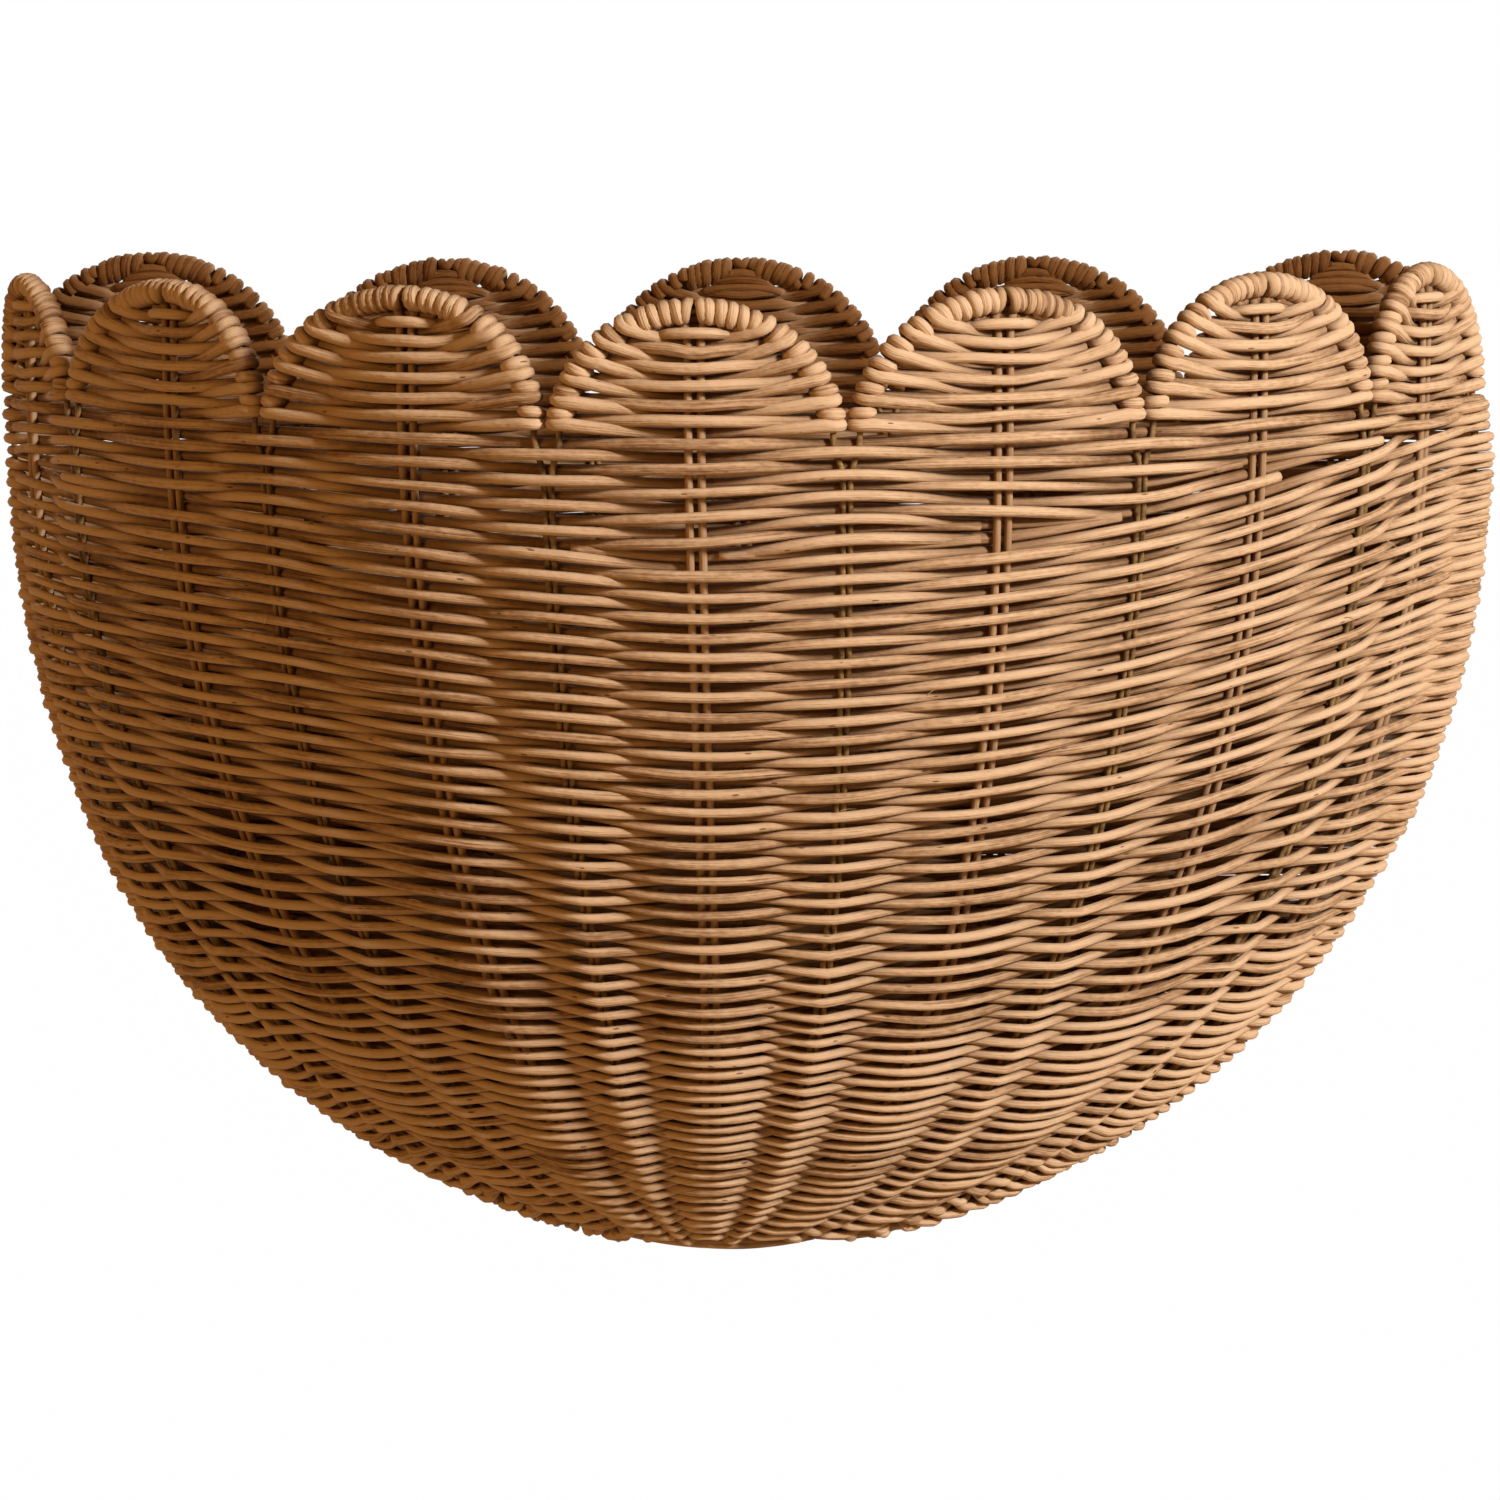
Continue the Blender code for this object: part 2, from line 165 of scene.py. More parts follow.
mesh = bmesh.new()
bmesh.ops.create_grid(mesh, x_segments=1, y_segments=1, size=FLOOR_SIZE / 2)
bmesh.ops.translate(mesh, verts=mesh.verts, vec=(0, 0, -FLOOR_DROP))
floor = bpy.data.objects.new("floor", bpy.data.meshes.new("floor"))
mesh.to_mesh(floor.data)
mesh.free()
bpy.context.scene.collection.objects.link(floor)
paint = Finish(bpy.data.materials.new("floor_paint"))
matte = paint.node("ShaderNodeBsdfDiffuse", None, {"Color": (*FLOOR_COLOUR, 1)})
glow = paint.node("ShaderNodeEmission", None, {"Color": WHITE, "Strength": 1.0})
mixed = paint.node(
    "ShaderNodeMixShader",
    None,
    {0: seen_directly(paint) * FLOOR_WHITENESS, 1: matte["BSDF"], 2: glow["Emission"]},
)
paint.node("ShaderNodeOutputMaterial", None, {"Surface": mixed["Shader"]})
floor.data.materials.append(paint.owner)

world = bpy.data.worlds.new("studio")
bpy.context.scene.world = world
room = Finish(world)
dim = room.node("ShaderNodeBackground", None, {"Color": (*ROOM_COLOUR, 1), "Strength": ROOM_STRENGTH})
plain = room.node("ShaderNodeBackground", None, {"Color": WHITE, "Strength": 1.0})
mixed = room.node(
    "ShaderNodeMixShader", None, {0: seen_directly(room), 1: dim["Background"], 2: plain["Background"]}
)
room.node("ShaderNodeOutputWorld", None, {"Surface": mixed["Shader"]})

# Lamps
# One soft white lamp high up and well to the right of the camera, and a weak amber one on its left,
# which keeps the basket's shaded side brown. Both are round and aim at the middle of the bowl.
KEY_PLACE = Vector((1.46, -1.28, 0.82))
KEY_SIZE = 0.36
KEY_POWER = 60.0
KEY_COLOUR = (1.0, 0.975, 0.945)
FILL_PLACE = Vector((-1.5, -1.3, 0.5))
FILL_SIZE = 0.6
FILL_POWER = 8.5
FILL_COLOUR = (1.0, 0.54, 0.13)
LAMP_AIM = Vector((0, -0.07, -0.08))


def lamp(name, place, size, power, colour):
    light = bpy.data.lights.new(name, "AREA")
    light.shape = "DISK"
    light.size = size
    light.energy = power
    light.color = colour
    holder = bpy.data.objects.new(name, light)
    holder.matrix_world = (
        Matrix.Translation(place) @ (place - LAMP_AIM).to_track_quat("Z", "Y").to_matrix().to_4x4()
    )
    bpy.context.scene.collection.objects.link(holder)


lamp("key_lamp", KEY_PLACE, KEY_SIZE, KEY_POWER, KEY_COLOUR)
lamp("fill_lamp", FILL_PLACE, FILL_SIZE, FILL_POWER, FILL_COLOUR)

# Bent arch wires
# Each scallop stands on one lacquered steel wire bent into an upside-down U. Its legs run down the
# bowl side by side with their neighbours', and the rattan is woven round them.
HALF_WIDTH = 0.187
DEPTH = 0.143
DROP = 0.222
WIDTH_FALL_POWER = 2.36
WIDTH_ROUND_POWER = 0.516
DEPTH_FALL_POWER = 1.35
DEPTH_ROUND_POWER = 0.90
PLAN_ROUND_POWER = 0.90
CORNER_SETBACK = 0.0044
BACK_SETBACK = 0.0034
FRONT_MARGIN_SHARE = 0.0075
LOW_LEAN = -0.009
LOW_LEAN_POWER = 5
FRONT_SHARES = (0.084, 0.168, 0.164, 0.142, 0.156, 0.165, 0.121)
BACK_SHARES = (0.2, 0.2, 0.2, 0.2, 0.2)
FRONT_STAKE_SHIFT_SHARES = (-0.26, 0.15, 0.10, 0, 0, -0.06, -0.08)
BACK_STAKE_SHIFT_SHARES = (0.012, 0.007, 0.008, -0.01, 0.044)
FRONT_RISES = (0.0289, 0.0299, 0.0305, 0.0284, 0.0300, 0.0314, 0.0315)
BACK_RISES = (0.0333, 0.0316, 0.0317, 0.0318, 0.0331)
BEATEN_UP = 0.20
LEAST_SLANT = 0.3
WIRE_RADIUS = 0.00075
LEG_INSET = 0.00085
FOOT_INSET = 0.0030
FOOT_DEPTH = 0.0100
LEG_DEPTH = 0.200
LEG_STEPS = 60
LEG_STEP_POWER = 1.5
ARCH_STEPS = 48
PLAN_SAMPLES = 1500
SLOPE_STEP = 0.002
SIDES = 8
GRAIN_SPREAD = 40.0
# Depth over which the painted shade inside the weave and on the basket's inner face fades in.
PAINTED_SHADE_SPAN = 0.0044
LEAST_SWELL = 0.02
WELD_SHARE = 0.001

turn = np.linspace(0, math.pi, PLAN_SAMPLES)
plan_x = -HALF_WIDTH * np.cos(turn)
plan_y = (DEPTH - CORNER_SETBACK) * np.sin(turn) ** (2 * PLAN_ROUND_POWER)
plan_length = np.concatenate([[0], np.cumsum(np.hypot(np.diff(plan_x), np.diff(plan_y)))])
RIM_LENGTH = float(plan_length[-1])

rng = np.random.default_rng(7)


def swell(height, fall_power, round_power):
    """How much of the rim's width or depth is left at a height."""
    return (1 - np.clip(-height / DROP, 0, 1) ** fall_power) ** round_power


def front_place(along, height):
    """Points of the front's middle surface: along is a share of the rim, height is from the notches."""
    along, height = np.broadcast_arrays(np.asarray(along, float), np.asarray(height, float))
    length = along * RIM_LENGTH
    x = np.interp(length, plan_length, plan_x) * swell(height, WIDTH_FALL_POWER, WIDTH_ROUND_POWER)
    y = np.interp(length, plan_length, plan_y) * swell(height, DEPTH_FALL_POWER, DEPTH_ROUND_POWER)
    x = x + LOW_LEAN * np.sin(math.pi * along) ** 2 * np.clip(-height / DROP, 0, 1) ** LOW_LEAN_POWER
    return np.stack([x, -CORNER_SETBACK - y, height], axis=-1)


def back_place(along, height):
    """Points of the back's middle surface: along is a share of the panel's width."""
    along, height = np.broadcast_arrays(np.asarray(along, float), np.asarray(height, float))
    x = (2 * along - 1) * HALF_WIDTH * swell(height, WIDTH_FALL_POWER, WIDTH_ROUND_POWER)
    return np.stack([x, np.full_like(x, -BACK_SETBACK), height], axis=-1)


def unit(vectors):
    return vectors / np.maximum(np.linalg.norm(vectors, axis=-1, keepdims=True), 1e-12)


class Side:
    """The front or the back of the basket: its surface, its row length and its scallops."""

    def __init__(self, name, place, length, outward, margin, shares, shifts, rises):
        self.name = name
        self.place = place
        self.length = length
        self.outward = outward
        self.rises = rises
        ends = margin + (1 - 2 * margin) * np.concatenate([[0], np.cumsum(shares) / sum(shares)])
        self.spans = list(zip(ends[:-1], ends[1:]))
        self.stakes = []
        for span, shift in zip(self.spans, shifts):
            self.stakes.append(sum(span) / 2 + (span[1] - span[0]) / 2 * shift)

    def facing(self, along, height):
        """The outward direction of the middle surface."""
        step = SLOPE_STEP * DROP
        across = self.place(np.minimum(along + SLOPE_STEP, 1), height)
        across = across - self.place(np.maximum(along - SLOPE_STEP, 0), height)
        upward = self.place(along, height + step) - self.place(along, height - step)
        return unit(np.cross(across, upward)) * self.outward

    def at(self, along, height, lift=0.0):
        lift = np.broadcast_to(np.asarray(lift, float), np.shape(height))[..., None]
        moved = self.facing(along, height) * lift
        moved[..., 2] -= moved[..., 1] * BEATEN_UP
        return self.place(along, height) + moved

    def beside(self, line, offset, heights):
        """Shares along the row that keep a clear distance to a rod line, all the way down the bowl."""
        near = min(max(line, SLOPE_STEP), 1 - SLOPE_STEP)
        stretch = self.place(near + SLOPE_STEP, heights) - self.place(near - SLOPE_STEP, heights)
        step = SLOPE_STEP * DROP
        run = self.place(line, heights - step) - self.place(line, heights + step)
        slant = np.linalg.norm(np.cross(unit(stretch), unit(run)), axis=-1)
        slant = np.maximum(slant, LEAST_SLANT)
        return line + offset * 2 * SLOPE_STEP / (np.linalg.norm(stretch, axis=-1) * slant)


front = Side(
    "front",
    front_place,
    RIM_LENGTH,
    1,
    FRONT_MARGIN_SHARE,
    FRONT_SHARES,
    FRONT_STAKE_SHIFT_SHARES,
    FRONT_RISES,
)
back = Side("back", back_place, 2 * HALF_WIDTH, -1, 0, BACK_SHARES, BACK_STAKE_SHIFT_SHARES, BACK_RISES)


def painted_shade_depth(points):
    """Painted shade: how deep places lie towards the inside of the basket, from 0 well outside the weave to
    1 inside; the finishes darken the colour by it as if it lay in shadow.
    """
    x, y, height = points.T
    wide = np.maximum(swell(height, WIDTH_FALL_POWER, WIDTH_ROUND_POWER), LEAST_SWELL)
    deep = np.maximum(swell(height, DEPTH_FALL_POWER, DEPTH_ROUND_POWER), LEAST_SWELL)
    half = HALF_WIDTH * wide
    depth = (DEPTH - CORNER_SETBACK) * deep
    across = np.abs(x) / half
    ahead = np.maximum(-CORNER_SETBACK - y, 0) / depth
    slope = np.hypot(2 * across / half, ahead ** (1 / PLAN_ROUND_POWER - 1) / PLAN_ROUND_POWER / depth)
    before = (across**2 + ahead ** (1 / PLAN_ROUND_POWER) - 1) / np.maximum(slope, 1)
    return np.clip(0.5 - np.maximum(before, y + BACK_SETBACK) / PAINTED_SHADE_SPAN, 0, 1)


def rods(name, paths, radius, finish, slot, *replaced):
    """One piece of round rods, each a polyline of x, y, z and thickness, as a closed mesh.

    The mesh carries three attributes for the finish: strand is one number a rod, grain holds the
    length along the rod and the place round it, and painted_shade_depth is how far inside the weave a place
    lies, for painted shade.
    """
    curve = bpy.data.curves.new(name, "CURVE")
    curve.dimensions = "3D"
    curve.bevel_depth = radius
    curve.bevel_resolution = SIDES // 2 - 2
    curve.use_fill_caps = True
    turn = 2 * math.pi * np.arange(SIDES) / SIDES
    strands, grains, end_strands, end_grains = [], [], [], []
    for path in paths:
        count = len(path)
        points, thickness = path[:, :3], path[:, 3]
        spline = curve.splines.new("POLY")
        spline.points.add(count - 1)
        spline.points.foreach_set("co", np.column_stack([points, np.ones(count)]).ravel())
        spline.points.foreach_set("radius", np.ascontiguousarray(thickness))
        spline.use_smooth = True
        length = np.concatenate([[0], np.cumsum(np.linalg.norm(np.diff(points, axis=0), axis=1))])
        grain = np.empty((count, SIDES, 3))
        grain[:, :, 0] = (length + rng.uniform(0, GRAIN_SPREAD))[:, None]
        grain[:, :, 1] = radius * thickness[:, None] * np.cos(turn)
        grain[:, :, 2] = radius * thickness[:, None] * np.sin(turn)
        shade = rng.uniform()
        strands.append(np.full(count * SIDES, shade))
        grains.append(grain.reshape(-1, 3))
        end_strands.insert(0, np.full(2 * SIDES, shade))
        end_grains.insert(0, np.concatenate([grain[-1], grain[0]]))
    guide = bpy.data.objects.new(name, curve)
    bpy.context.scene.collection.objects.link(guide)
    graph = bpy.context.evaluated_depsgraph_get()
    data = bpy.data.meshes.new_from_object(guide.evaluated_get(graph))
    data.name = name
    bpy.data.objects.remove(guide, do_unlink=True)
    attribute = data.attributes.new("strand", "FLOAT", "POINT")
    attribute.data.foreach_set("value", np.concatenate(end_strands + strands))
    attribute = data.attributes.new("grain", "FLOAT_VECTOR", "POINT")
    attribute.data.foreach_set("vector", np.concatenate(end_grains + grains).ravel())
    mesh = bmesh.new()
    mesh.from_mesh(data)
    bmesh.ops.remove_doubles(mesh, verts=mesh.verts, dist=radius * WELD_SHARE)
    mesh.to_mesh(data)
    mesh.free()
    places = np.empty(3 * len(data.vertices))
    data.vertices.foreach_get("co", places)
    # Painted shade: how far inside the weave or the basket each place lies, which the finishes turn into a
    # darker colour.
    attribute = data.attributes.new("painted_shade_depth", "FLOAT", "POINT")
    attribute.data.foreach_set("value", painted_shade_depth(places.reshape(-1, 3)))
    data.materials.clear()
    data.materials.append(finish.owner)
    piece = bpy.data.objects.new(name, data)
    bpy.context.scene.collection.objects.link(piece)
    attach(piece, "root")
    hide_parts(*replaced)


def thick(points, thickness):
    """Points with a fourth column, their thickness as a share of the rod's own."""
    return np.column_stack([points, np.broadcast_to(thickness, len(points))])


def wire_lines(side, span, stake, rise):
    """(along, height) from one leg's foot, up it, over the arch, highest at its stake, and down again."""
    heights = -LEG_DEPTH * np.linspace(1, 0, LEG_STEPS) ** LEG_STEP_POWER
    spread = np.clip(1 + heights / FOOT_DEPTH, 0, 1)
    inset = LEG_INSET + (FOOT_INSET - LEG_INSET) * spread * spread * (3 - 2 * spread)
    left = side.beside(span[0], inset, heights)
    right = side.beside(span[1], -inset, heights)
    turn = np.linspace(0, math.pi, ARCH_STEPS + 1)[1:-1]
    middle, half = (left[-1] + right[-1]) / 2, (right[-1] - left[-1]) / 2
    lean = (stake - sum(span) / 2) * np.sin(turn) ** 2
    along = np.concatenate([left, middle - half * np.cos(turn) + lean, right[::-1]])
    height = np.concatenate([heights, rise * np.sin(turn), heights[::-1]])
    return along, height


lacquer = Finish(bpy.data.materials.new("lacquered_wire"))
place = lacquer.node("ShaderNodeTexCoord")["Object"]
patches = lacquer.node("ShaderNodeTexNoise", None, {"Vector": place, "Scale": 420.0, "Detail": 3.0})["Fac"]
tint = lacquer.node(
    "ShaderNodeValToRGB",
    {"stops": [(0.35, (0.09, 0.048, 0.018)), (0.62, (0.31, 0.19, 0.078))]},
    {"Fac": patches},
)["Color"]
dents = lacquer.node("ShaderNodeBump", None, {"Height": patches, "Strength": 0.3, "Distance": 0.0002})
shader = lacquer.node(
    "ShaderNodeBsdfPrincipled",
    None,
    {
        "Base Color": tint,
        "Specular IOR Level": 0.06,
        "Roughness": patches * 0.25 + 0.28,
        "Normal": dents["Normal"],
    },
)
lacquer.node("ShaderNodeOutputMaterial", None, {"Surface": shader["BSDF"]})

for side in (front, back):
    for number, arch in enumerate(zip(side.spans, side.stakes, side.rises), 1):
        points = side.at(*wire_lines(side, *arch))
        rods(
            f"{side.name}_wire_{number}",
            [thick(points, 1)],
            WIRE_RADIUS,
            lacquer,
            "lacquered_wire",
            f"{side.name}_arch_wire_{number}",
        )

# Hairpin stakes
# A thin peeled rattan rod, soaked and folded in two, hangs by its fold over the crown of each arch.
# Its two legs run down the middle of the scallop and stiffen the bowl between the wires.
STAKE_RADIUS = 0.00095
STAKE_SPACING = 0.0029
STAKE_DEPTH = 0.203
STAKE_FREE_TOP = 0.0070
FOLD_SPREAD_AT_FOOT = 0.0026
FOLD_SPREAD_AT_TOP = 0.0008
FOLD_THICKNESS = 1.35
FOLD_TURNS = (-0.15, 1.35)
FOLD_STEPS = 14
STAKE_WANDER = 0.00022
STAKE_WANDER_STEPS = 9
STAKE_THICKNESS_SPREAD = 0.03
STAKE_THICKNESS_STEPS = 25
STAKE_COARSENESS = 1.5
RESAMPLE = 0.0008
SOFTEN = 0.0008
HOOP_START = -0.004


def resampled(points, spacing):
    """The same line with evenly spaced points."""
    length = np.concatenate([[0], np.cumsum(np.linalg.norm(np.diff(points[:, :3], axis=0), axis=1))])
    count = max(int(round(length[-1] / spacing)), 2)
    even = np.linspace(0, length[-1], count + 1)
    return np.stack([np.interp(even, length, points[:, axis]) for axis in range(points.shape[1])], axis=1)


def softened(points, amount, spacing):
    """The line with its corners rounded, as a springy rod would run through them."""
    fine = spacing / 3
    dense = resampled(points, fine)
    reach = max(int(3 * amount / fine), 1)
    weights = np.exp(-0.5 * (np.arange(-reach, reach + 1) * fine / amount) ** 2)
    weights /= weights.sum()
    start = 2 * dense[0] - dense[reach:0:-1]
    end = 2 * dense[-1] - dense[-2 : -reach - 2 : -1]
    if len(start) < reach or len(end) < reach:
        return resampled(points, spacing)
    padded = np.concatenate([start, dense, end])
    columns = range(padded.shape[1])
    smooth = np.stack([np.convolve(padded[:, axis], weights, "valid") for axis in columns], axis=1)
    return resampled(smooth, spacing)


def slow_noise(count, step, amount):
    """A random line of numbers that drifts over about step samples."""
    knots = rng.normal(0, amount, count // step + 4)
    places = np.arange(count) / step
    low = places.astype(int)
    part = places - low
    part = part * part * (3 - 2 * part)
    return knots[low] * (1 - part) + knots[low + 1] * part


class Hoop:
    """The arch of one wire above the notches, with a direction into the scallop at each place."""

    def __init__(self, side, span, stake, rise):
        along, height = wire_lines(side, span, stake, rise)
        top = height > HOOP_START
        self.side = side
        self.centre = stake
        self.rise = rise
        self.along = along[top]
        self.height = height[top]
        self.points = side.at(self.along, self.height)
        steps = np.linalg.norm(np.diff(self.points, axis=0), axis=1)
        self.length = np.concatenate([[0], np.cumsum(steps)])
        half = len(self.height) // 2
        self.length -= float(np.interp(0, self.height[:half], self.length[:half]))
        self.crown = self.length[np.argmax(self.height)]
        self.outward = side.facing(self.along, self.height)
        heading = unit(np.gradient(self.points, axis=0))
        self.inward = unit(np.cross(heading, self.outward)) * side.outward

    def read(self, values, at):
        at = np.asarray(at, float)
        return np.stack([np.interp(at, self.length, values[:, axis]) for axis in range(3)], axis=-1)

    def round(self, at, turn, reach):
        """A point at a distance from the wire: turn 0 is inside the arch, a quarter is outward."""
        turn = np.asarray(turn, float)[..., None]
        reach = np.asarray(reach, float)
        reach = reach[..., None] if reach.ndim else reach
        inward, outward = self.read(self.inward, at), self.read(self.outward, at)
        return self.read(self.points, at) + reach * (np.cos(turn) * inward + np.sin(turn) * outward)

    def share_at(self, at):
        return float(np.interp(at, self.length, self.along))

    def height_at(self, at):
        return float(np.interp(at, self.length, self.height))

    def length_at_height(self, height, from_left=True):
        half = len(self.height) // 2 + 1
        if from_left:
            return float(np.interp(height, self.height[:half], self.length[:half]))
        return float(np.interp(height, self.height[::-1][:half], self.length[::-1][:half]))


def noise(finish, place, scale, detail):
    """A noise pattern over a place, stretched by a scale along each of its axes."""
    stretched = finish.node("ShaderNodeMapping", None, {"Vector": place, "Scale": scale})["Vector"]
    sockets = {"Vector": stretched, "Scale": 1.0, "Detail": detail}
    return finish.node("ShaderNodeTexNoise", None, sockets)["Fac"]


def blend(finish, mode, factor, first, second):
    """Two colours mixed in one of the Mix node's ways."""
    settings = {"data_type": "RGBA", "blend_type": mode}
    return finish.node("ShaderNodeMix", settings, {0: factor, 6: first, 7: second})["Result"]


# Painted shade: canes and stakes are multiplied towards this dark brown where they lie inside the weave or
# on the basket's inner face, standing in for the shadow there.
PAINTED_SHADE_TINT = (0.27, 0.165, 0.078, 1)

peeled = Finish(bpy.data.materials.new("peeled_rattan_stake"))
strand = peeled.node("ShaderNodeAttribute", {"attribute_name": "strand"})["Fac"]
grain = peeled.node("ShaderNodeAttribute", {"attribute_name": "grain"})["Vector"]
painted_shade_amount = peeled.node("ShaderNodeAttribute", {"attribute_name": "painted_shade_depth"})["Fac"]
fibres = noise(peeled, grain, (90.0, 2600.0, 2600.0), 3.0)
blotches = noise(peeled, grain, (70.0, 70.0, 70.0), 3.0)
tint = peeled.node(
    "ShaderNodeValToRGB",
    {"stops": [(0.25, (0.38, 0.215, 0.105)), (0.75, (0.67, 0.46, 0.28))]},
    {"Fac": fibres * 0.35 + blotches * 0.45 + strand * 0.2},
)["Color"]
# Painted shade inside the weave and on the basket's inner face.
tint = blend(peeled, "MULTIPLY", painted_shade_amount, tint, PAINTED_SHADE_TINT)
ridges = peeled.node("ShaderNodeBump", None, {"Height": fibres, "Strength": 0.5, "Distance": 0.00025})
shader = peeled.node(
    "ShaderNodeBsdfPrincipled",
    None,
    {
        "Base Color": tint,
        "Roughness": fibres * 0.2 + 0.5,
        "Specular IOR Level": 0.05,
        "Normal": ridges["Normal"],
    },
)
peeled.node("ShaderNodeOutputMaterial", None, {"Surface": shader["BSDF"]})

hoops = {}
for side in (front, back):
    hoops[side.name] = [Hoop(side, *arch) for arch in zip(side.spans, side.stakes, side.rises)]

for side in (front, back):
    for number, hoop in enumerate(hoops[side.name], 1):
        heights = np.linspace(-STAKE_DEPTH, hoop.rise - STAKE_FREE_TOP, LEG_STEPS)
        halves = []
        for hand in (-1, 1):
            across = side.beside(hoop.centre, hand * STAKE_SPACING / 2, heights)
            leg = side.at(across, heights, slow_noise(LEG_STEPS, STAKE_WANDER_STEPS, STAKE_WANDER))
            turn = np.linspace(*FOLD_TURNS, FOLD_STEPS) * math.pi
            spread = np.linspace(FOLD_SPREAD_AT_FOOT, FOLD_SPREAD_AT_TOP, FOLD_STEPS)
            fold = hoop.round(hoop.crown + hand * spread, turn, WIRE_RADIUS + STAKE_RADIUS * FOLD_THICKNESS)
            halves.append(np.concatenate([thick(leg, 1), thick(fold, FOLD_THICKNESS)]))
        rod = softened(np.concatenate([halves[0], halves[1][::-1]]), SOFTEN, RESAMPLE * STAKE_COARSENESS)
        uneven = 1 + slow_noise(len(rod), STAKE_THICKNESS_STEPS, STAKE_THICKNESS_SPREAD)
        rods(
            f"{side.name}_folded_stake_{number}",
            [thick(rod[:, :3], rod[:, 3] * uneven)],
            STAKE_RADIUS,
            peeled,
            "rattan_stake",
            f"{side.name}_hairpin_stake_{number}",
        )

# Woven rows of the bowl
# Round rattan cane, woven one over and one under round the whole basket: each row passes outside the
# stakes and inside the wires, and the next row the other way. Short rows near the rim end in cut tails,
# where the rows that rise towards the corners take their room.
CANE_RADIUS = 0.00123
ROW_PITCH = 0.00270
PITCH_DEPTHS = (0, 0.138, 0.150, 0.162, 0.178, 0.222)
PITCHES = (0.00270, 0.00270, 0.00240, 0.00236, 0.00195, 0.00190)
FIRST_ROW = 0.0013
LAST_ROW = 0.2195
SHORT_ROWS = 11
SHORT_PITCH_SHARE = 0.95
ENDS_OUTSIDE_LEFT = (7,)
ENDS_OUTSIDE_RIGHT = (3, 6)
ROWS_PER_EXTRA_PAIR = 6
EXTRA_PAIRS_FROM = 0.045
BACK_PAIRS_MARGINS = (0.010, 0.006)
FRONT_STATIONS = 14
STATIONS = 24
STATION_SAMPLES = 48
HEIGHT_SAMPLES = 800
RINGS = (0, 3, 6, 10, 16, 24, 32, 38, 42, 45)
CORNER_SOFTNESS = 3.0
HEIGHT_SOFTNESS = 9.0
FLAT_OVER_STAKES = 0.0024
FLAT_OVER_WIRES = 0.0004
MOST_FLAT_SHARES = (0.40, 0.15)
KINK_STRAIGHT_SHARE = 0.35
STEEPNESS = 1.3
KINK_DEPTHS = (0.070, 0.125)
LIFT_DEPTHS = (0, 0.090, 0.135, 0.180, 0.205, 0.222)
LIFT_SHARES = (1.0, 1.0, 1.18, 1.12, 0.85, 0.60)
DROOP_DEPTHS = (0, 0.055, 0.125)
DROOP_SHARES = (0, 0, 1.0)
CORNER_PLACES = (FRONT_STATIONS + 0.08, STATIONS - 0.08)
CORNER_LIFTS = (0.0056, 0.0016)
CORNER_LIFT_DEPTHS = (0, 0.014, 0.100, 0.127, 0.153, 0.178, 0.204)
CORNER_LIFT_FADES = (
    (0.45, 1, 1, 0.55, 0.42, 0.18, -0.10),
    (1, 1, 1.2, 2.0, 2.1, 1.8, 1.2),
)
CORNER_LIFT_SHARE = 0.15
CORNER_REACH = 0.90
CORNER_FLAT_REACHES = (0.22, 0.42)
CORNER_FLAT_EDGE = 1.4
CORNER_THICKNESS = 1.03
RIGHT_CORNER_THICKNESSES = (0.95, 1.02)
LEFT_CORNER_THICKNESSES = (1.10, 1.18)
TAIL_SHARE = 0.13
HIDDEN_TAIL_SHARE = 0.85
HIDDEN_TAIL_TAPER = 0.80
CORNER_TAIL_SHARE = 0.40
TAIL_RETURN = 0.9
BACK_THICKNESS = 1.20
MOST_BACK_THICKNESS = 1.55
BACK_SPREAD = 1.15
ROW_DRIFT = 0.00046
ROW_DRIFT_KEPT = 0.93
ROW_DRIFT_STEP_SHARE = 0.3
DRIFT_FROM_ROW = 4
ROW_WANDER = 0.00017
ROW_LIFT_WANDER = 0.00012
ROW_THICKNESS_SPREAD = 0.065
ROW_SWELL = 0.02
ROW_SWELL_STEPS = 10
LEAST_THICKNESS = 0.91
MOST_THICKNESS = 0.98
RISE_STATIONS = (0, 2, 4, 5.5, 7, 8.5, 10, 11, 12, 13, 14, 24)
RISE_SHARES = (0.52, 0.38, 0.27, 0.12, 0, 0.06, 0.26, 0.46, 0.73, 0.90, 1.0, 0.52)
CORNER_RISE = 0.0250
FADE_DEPTHS = (0, 0.100, 0.142, 0.185, 0.222)
FADE_SHARES = (1, 1, 0.36, 0.04, 0)

front_lines = [front.spans[0][0]]
for stake, span in zip(front.stakes, front.spans):
    front_lines += [stake, span[1]]


def loop_place(station, height):
    """Points of the middle surface all round the basket: stations 0 to 14 are the front's wires and
    stakes from left to right, and 14 to 24 the back's from right to left."""
    station = np.mod(station, STATIONS)
    along = np.interp(station, np.arange(FRONT_STATIONS + 1), front_lines)
    behind = 1 - (station - FRONT_STATIONS) / (STATIONS - FRONT_STATIONS)
    ahead = front_place(along, height)
    return np.where((station > FRONT_STATIONS)[:, None], back_place(behind, height), ahead)


def blurred(values, amount):
    """values smoothed round the closed loop, over amount samples."""
    reach = int(3 * amount) + 1
    weights = np.exp(-0.5 * (np.arange(-reach, reach + 1) / amount) ** 2)
    weights /= weights.sum()
    padded = np.concatenate([values[-reach:], values, values[:reach]])
    if padded.ndim == 1:
        return np.convolve(padded, weights, "valid")
    return np.stack([np.convolve(padded[:, axis], weights, "valid") for axis in range(3)], axis=1)


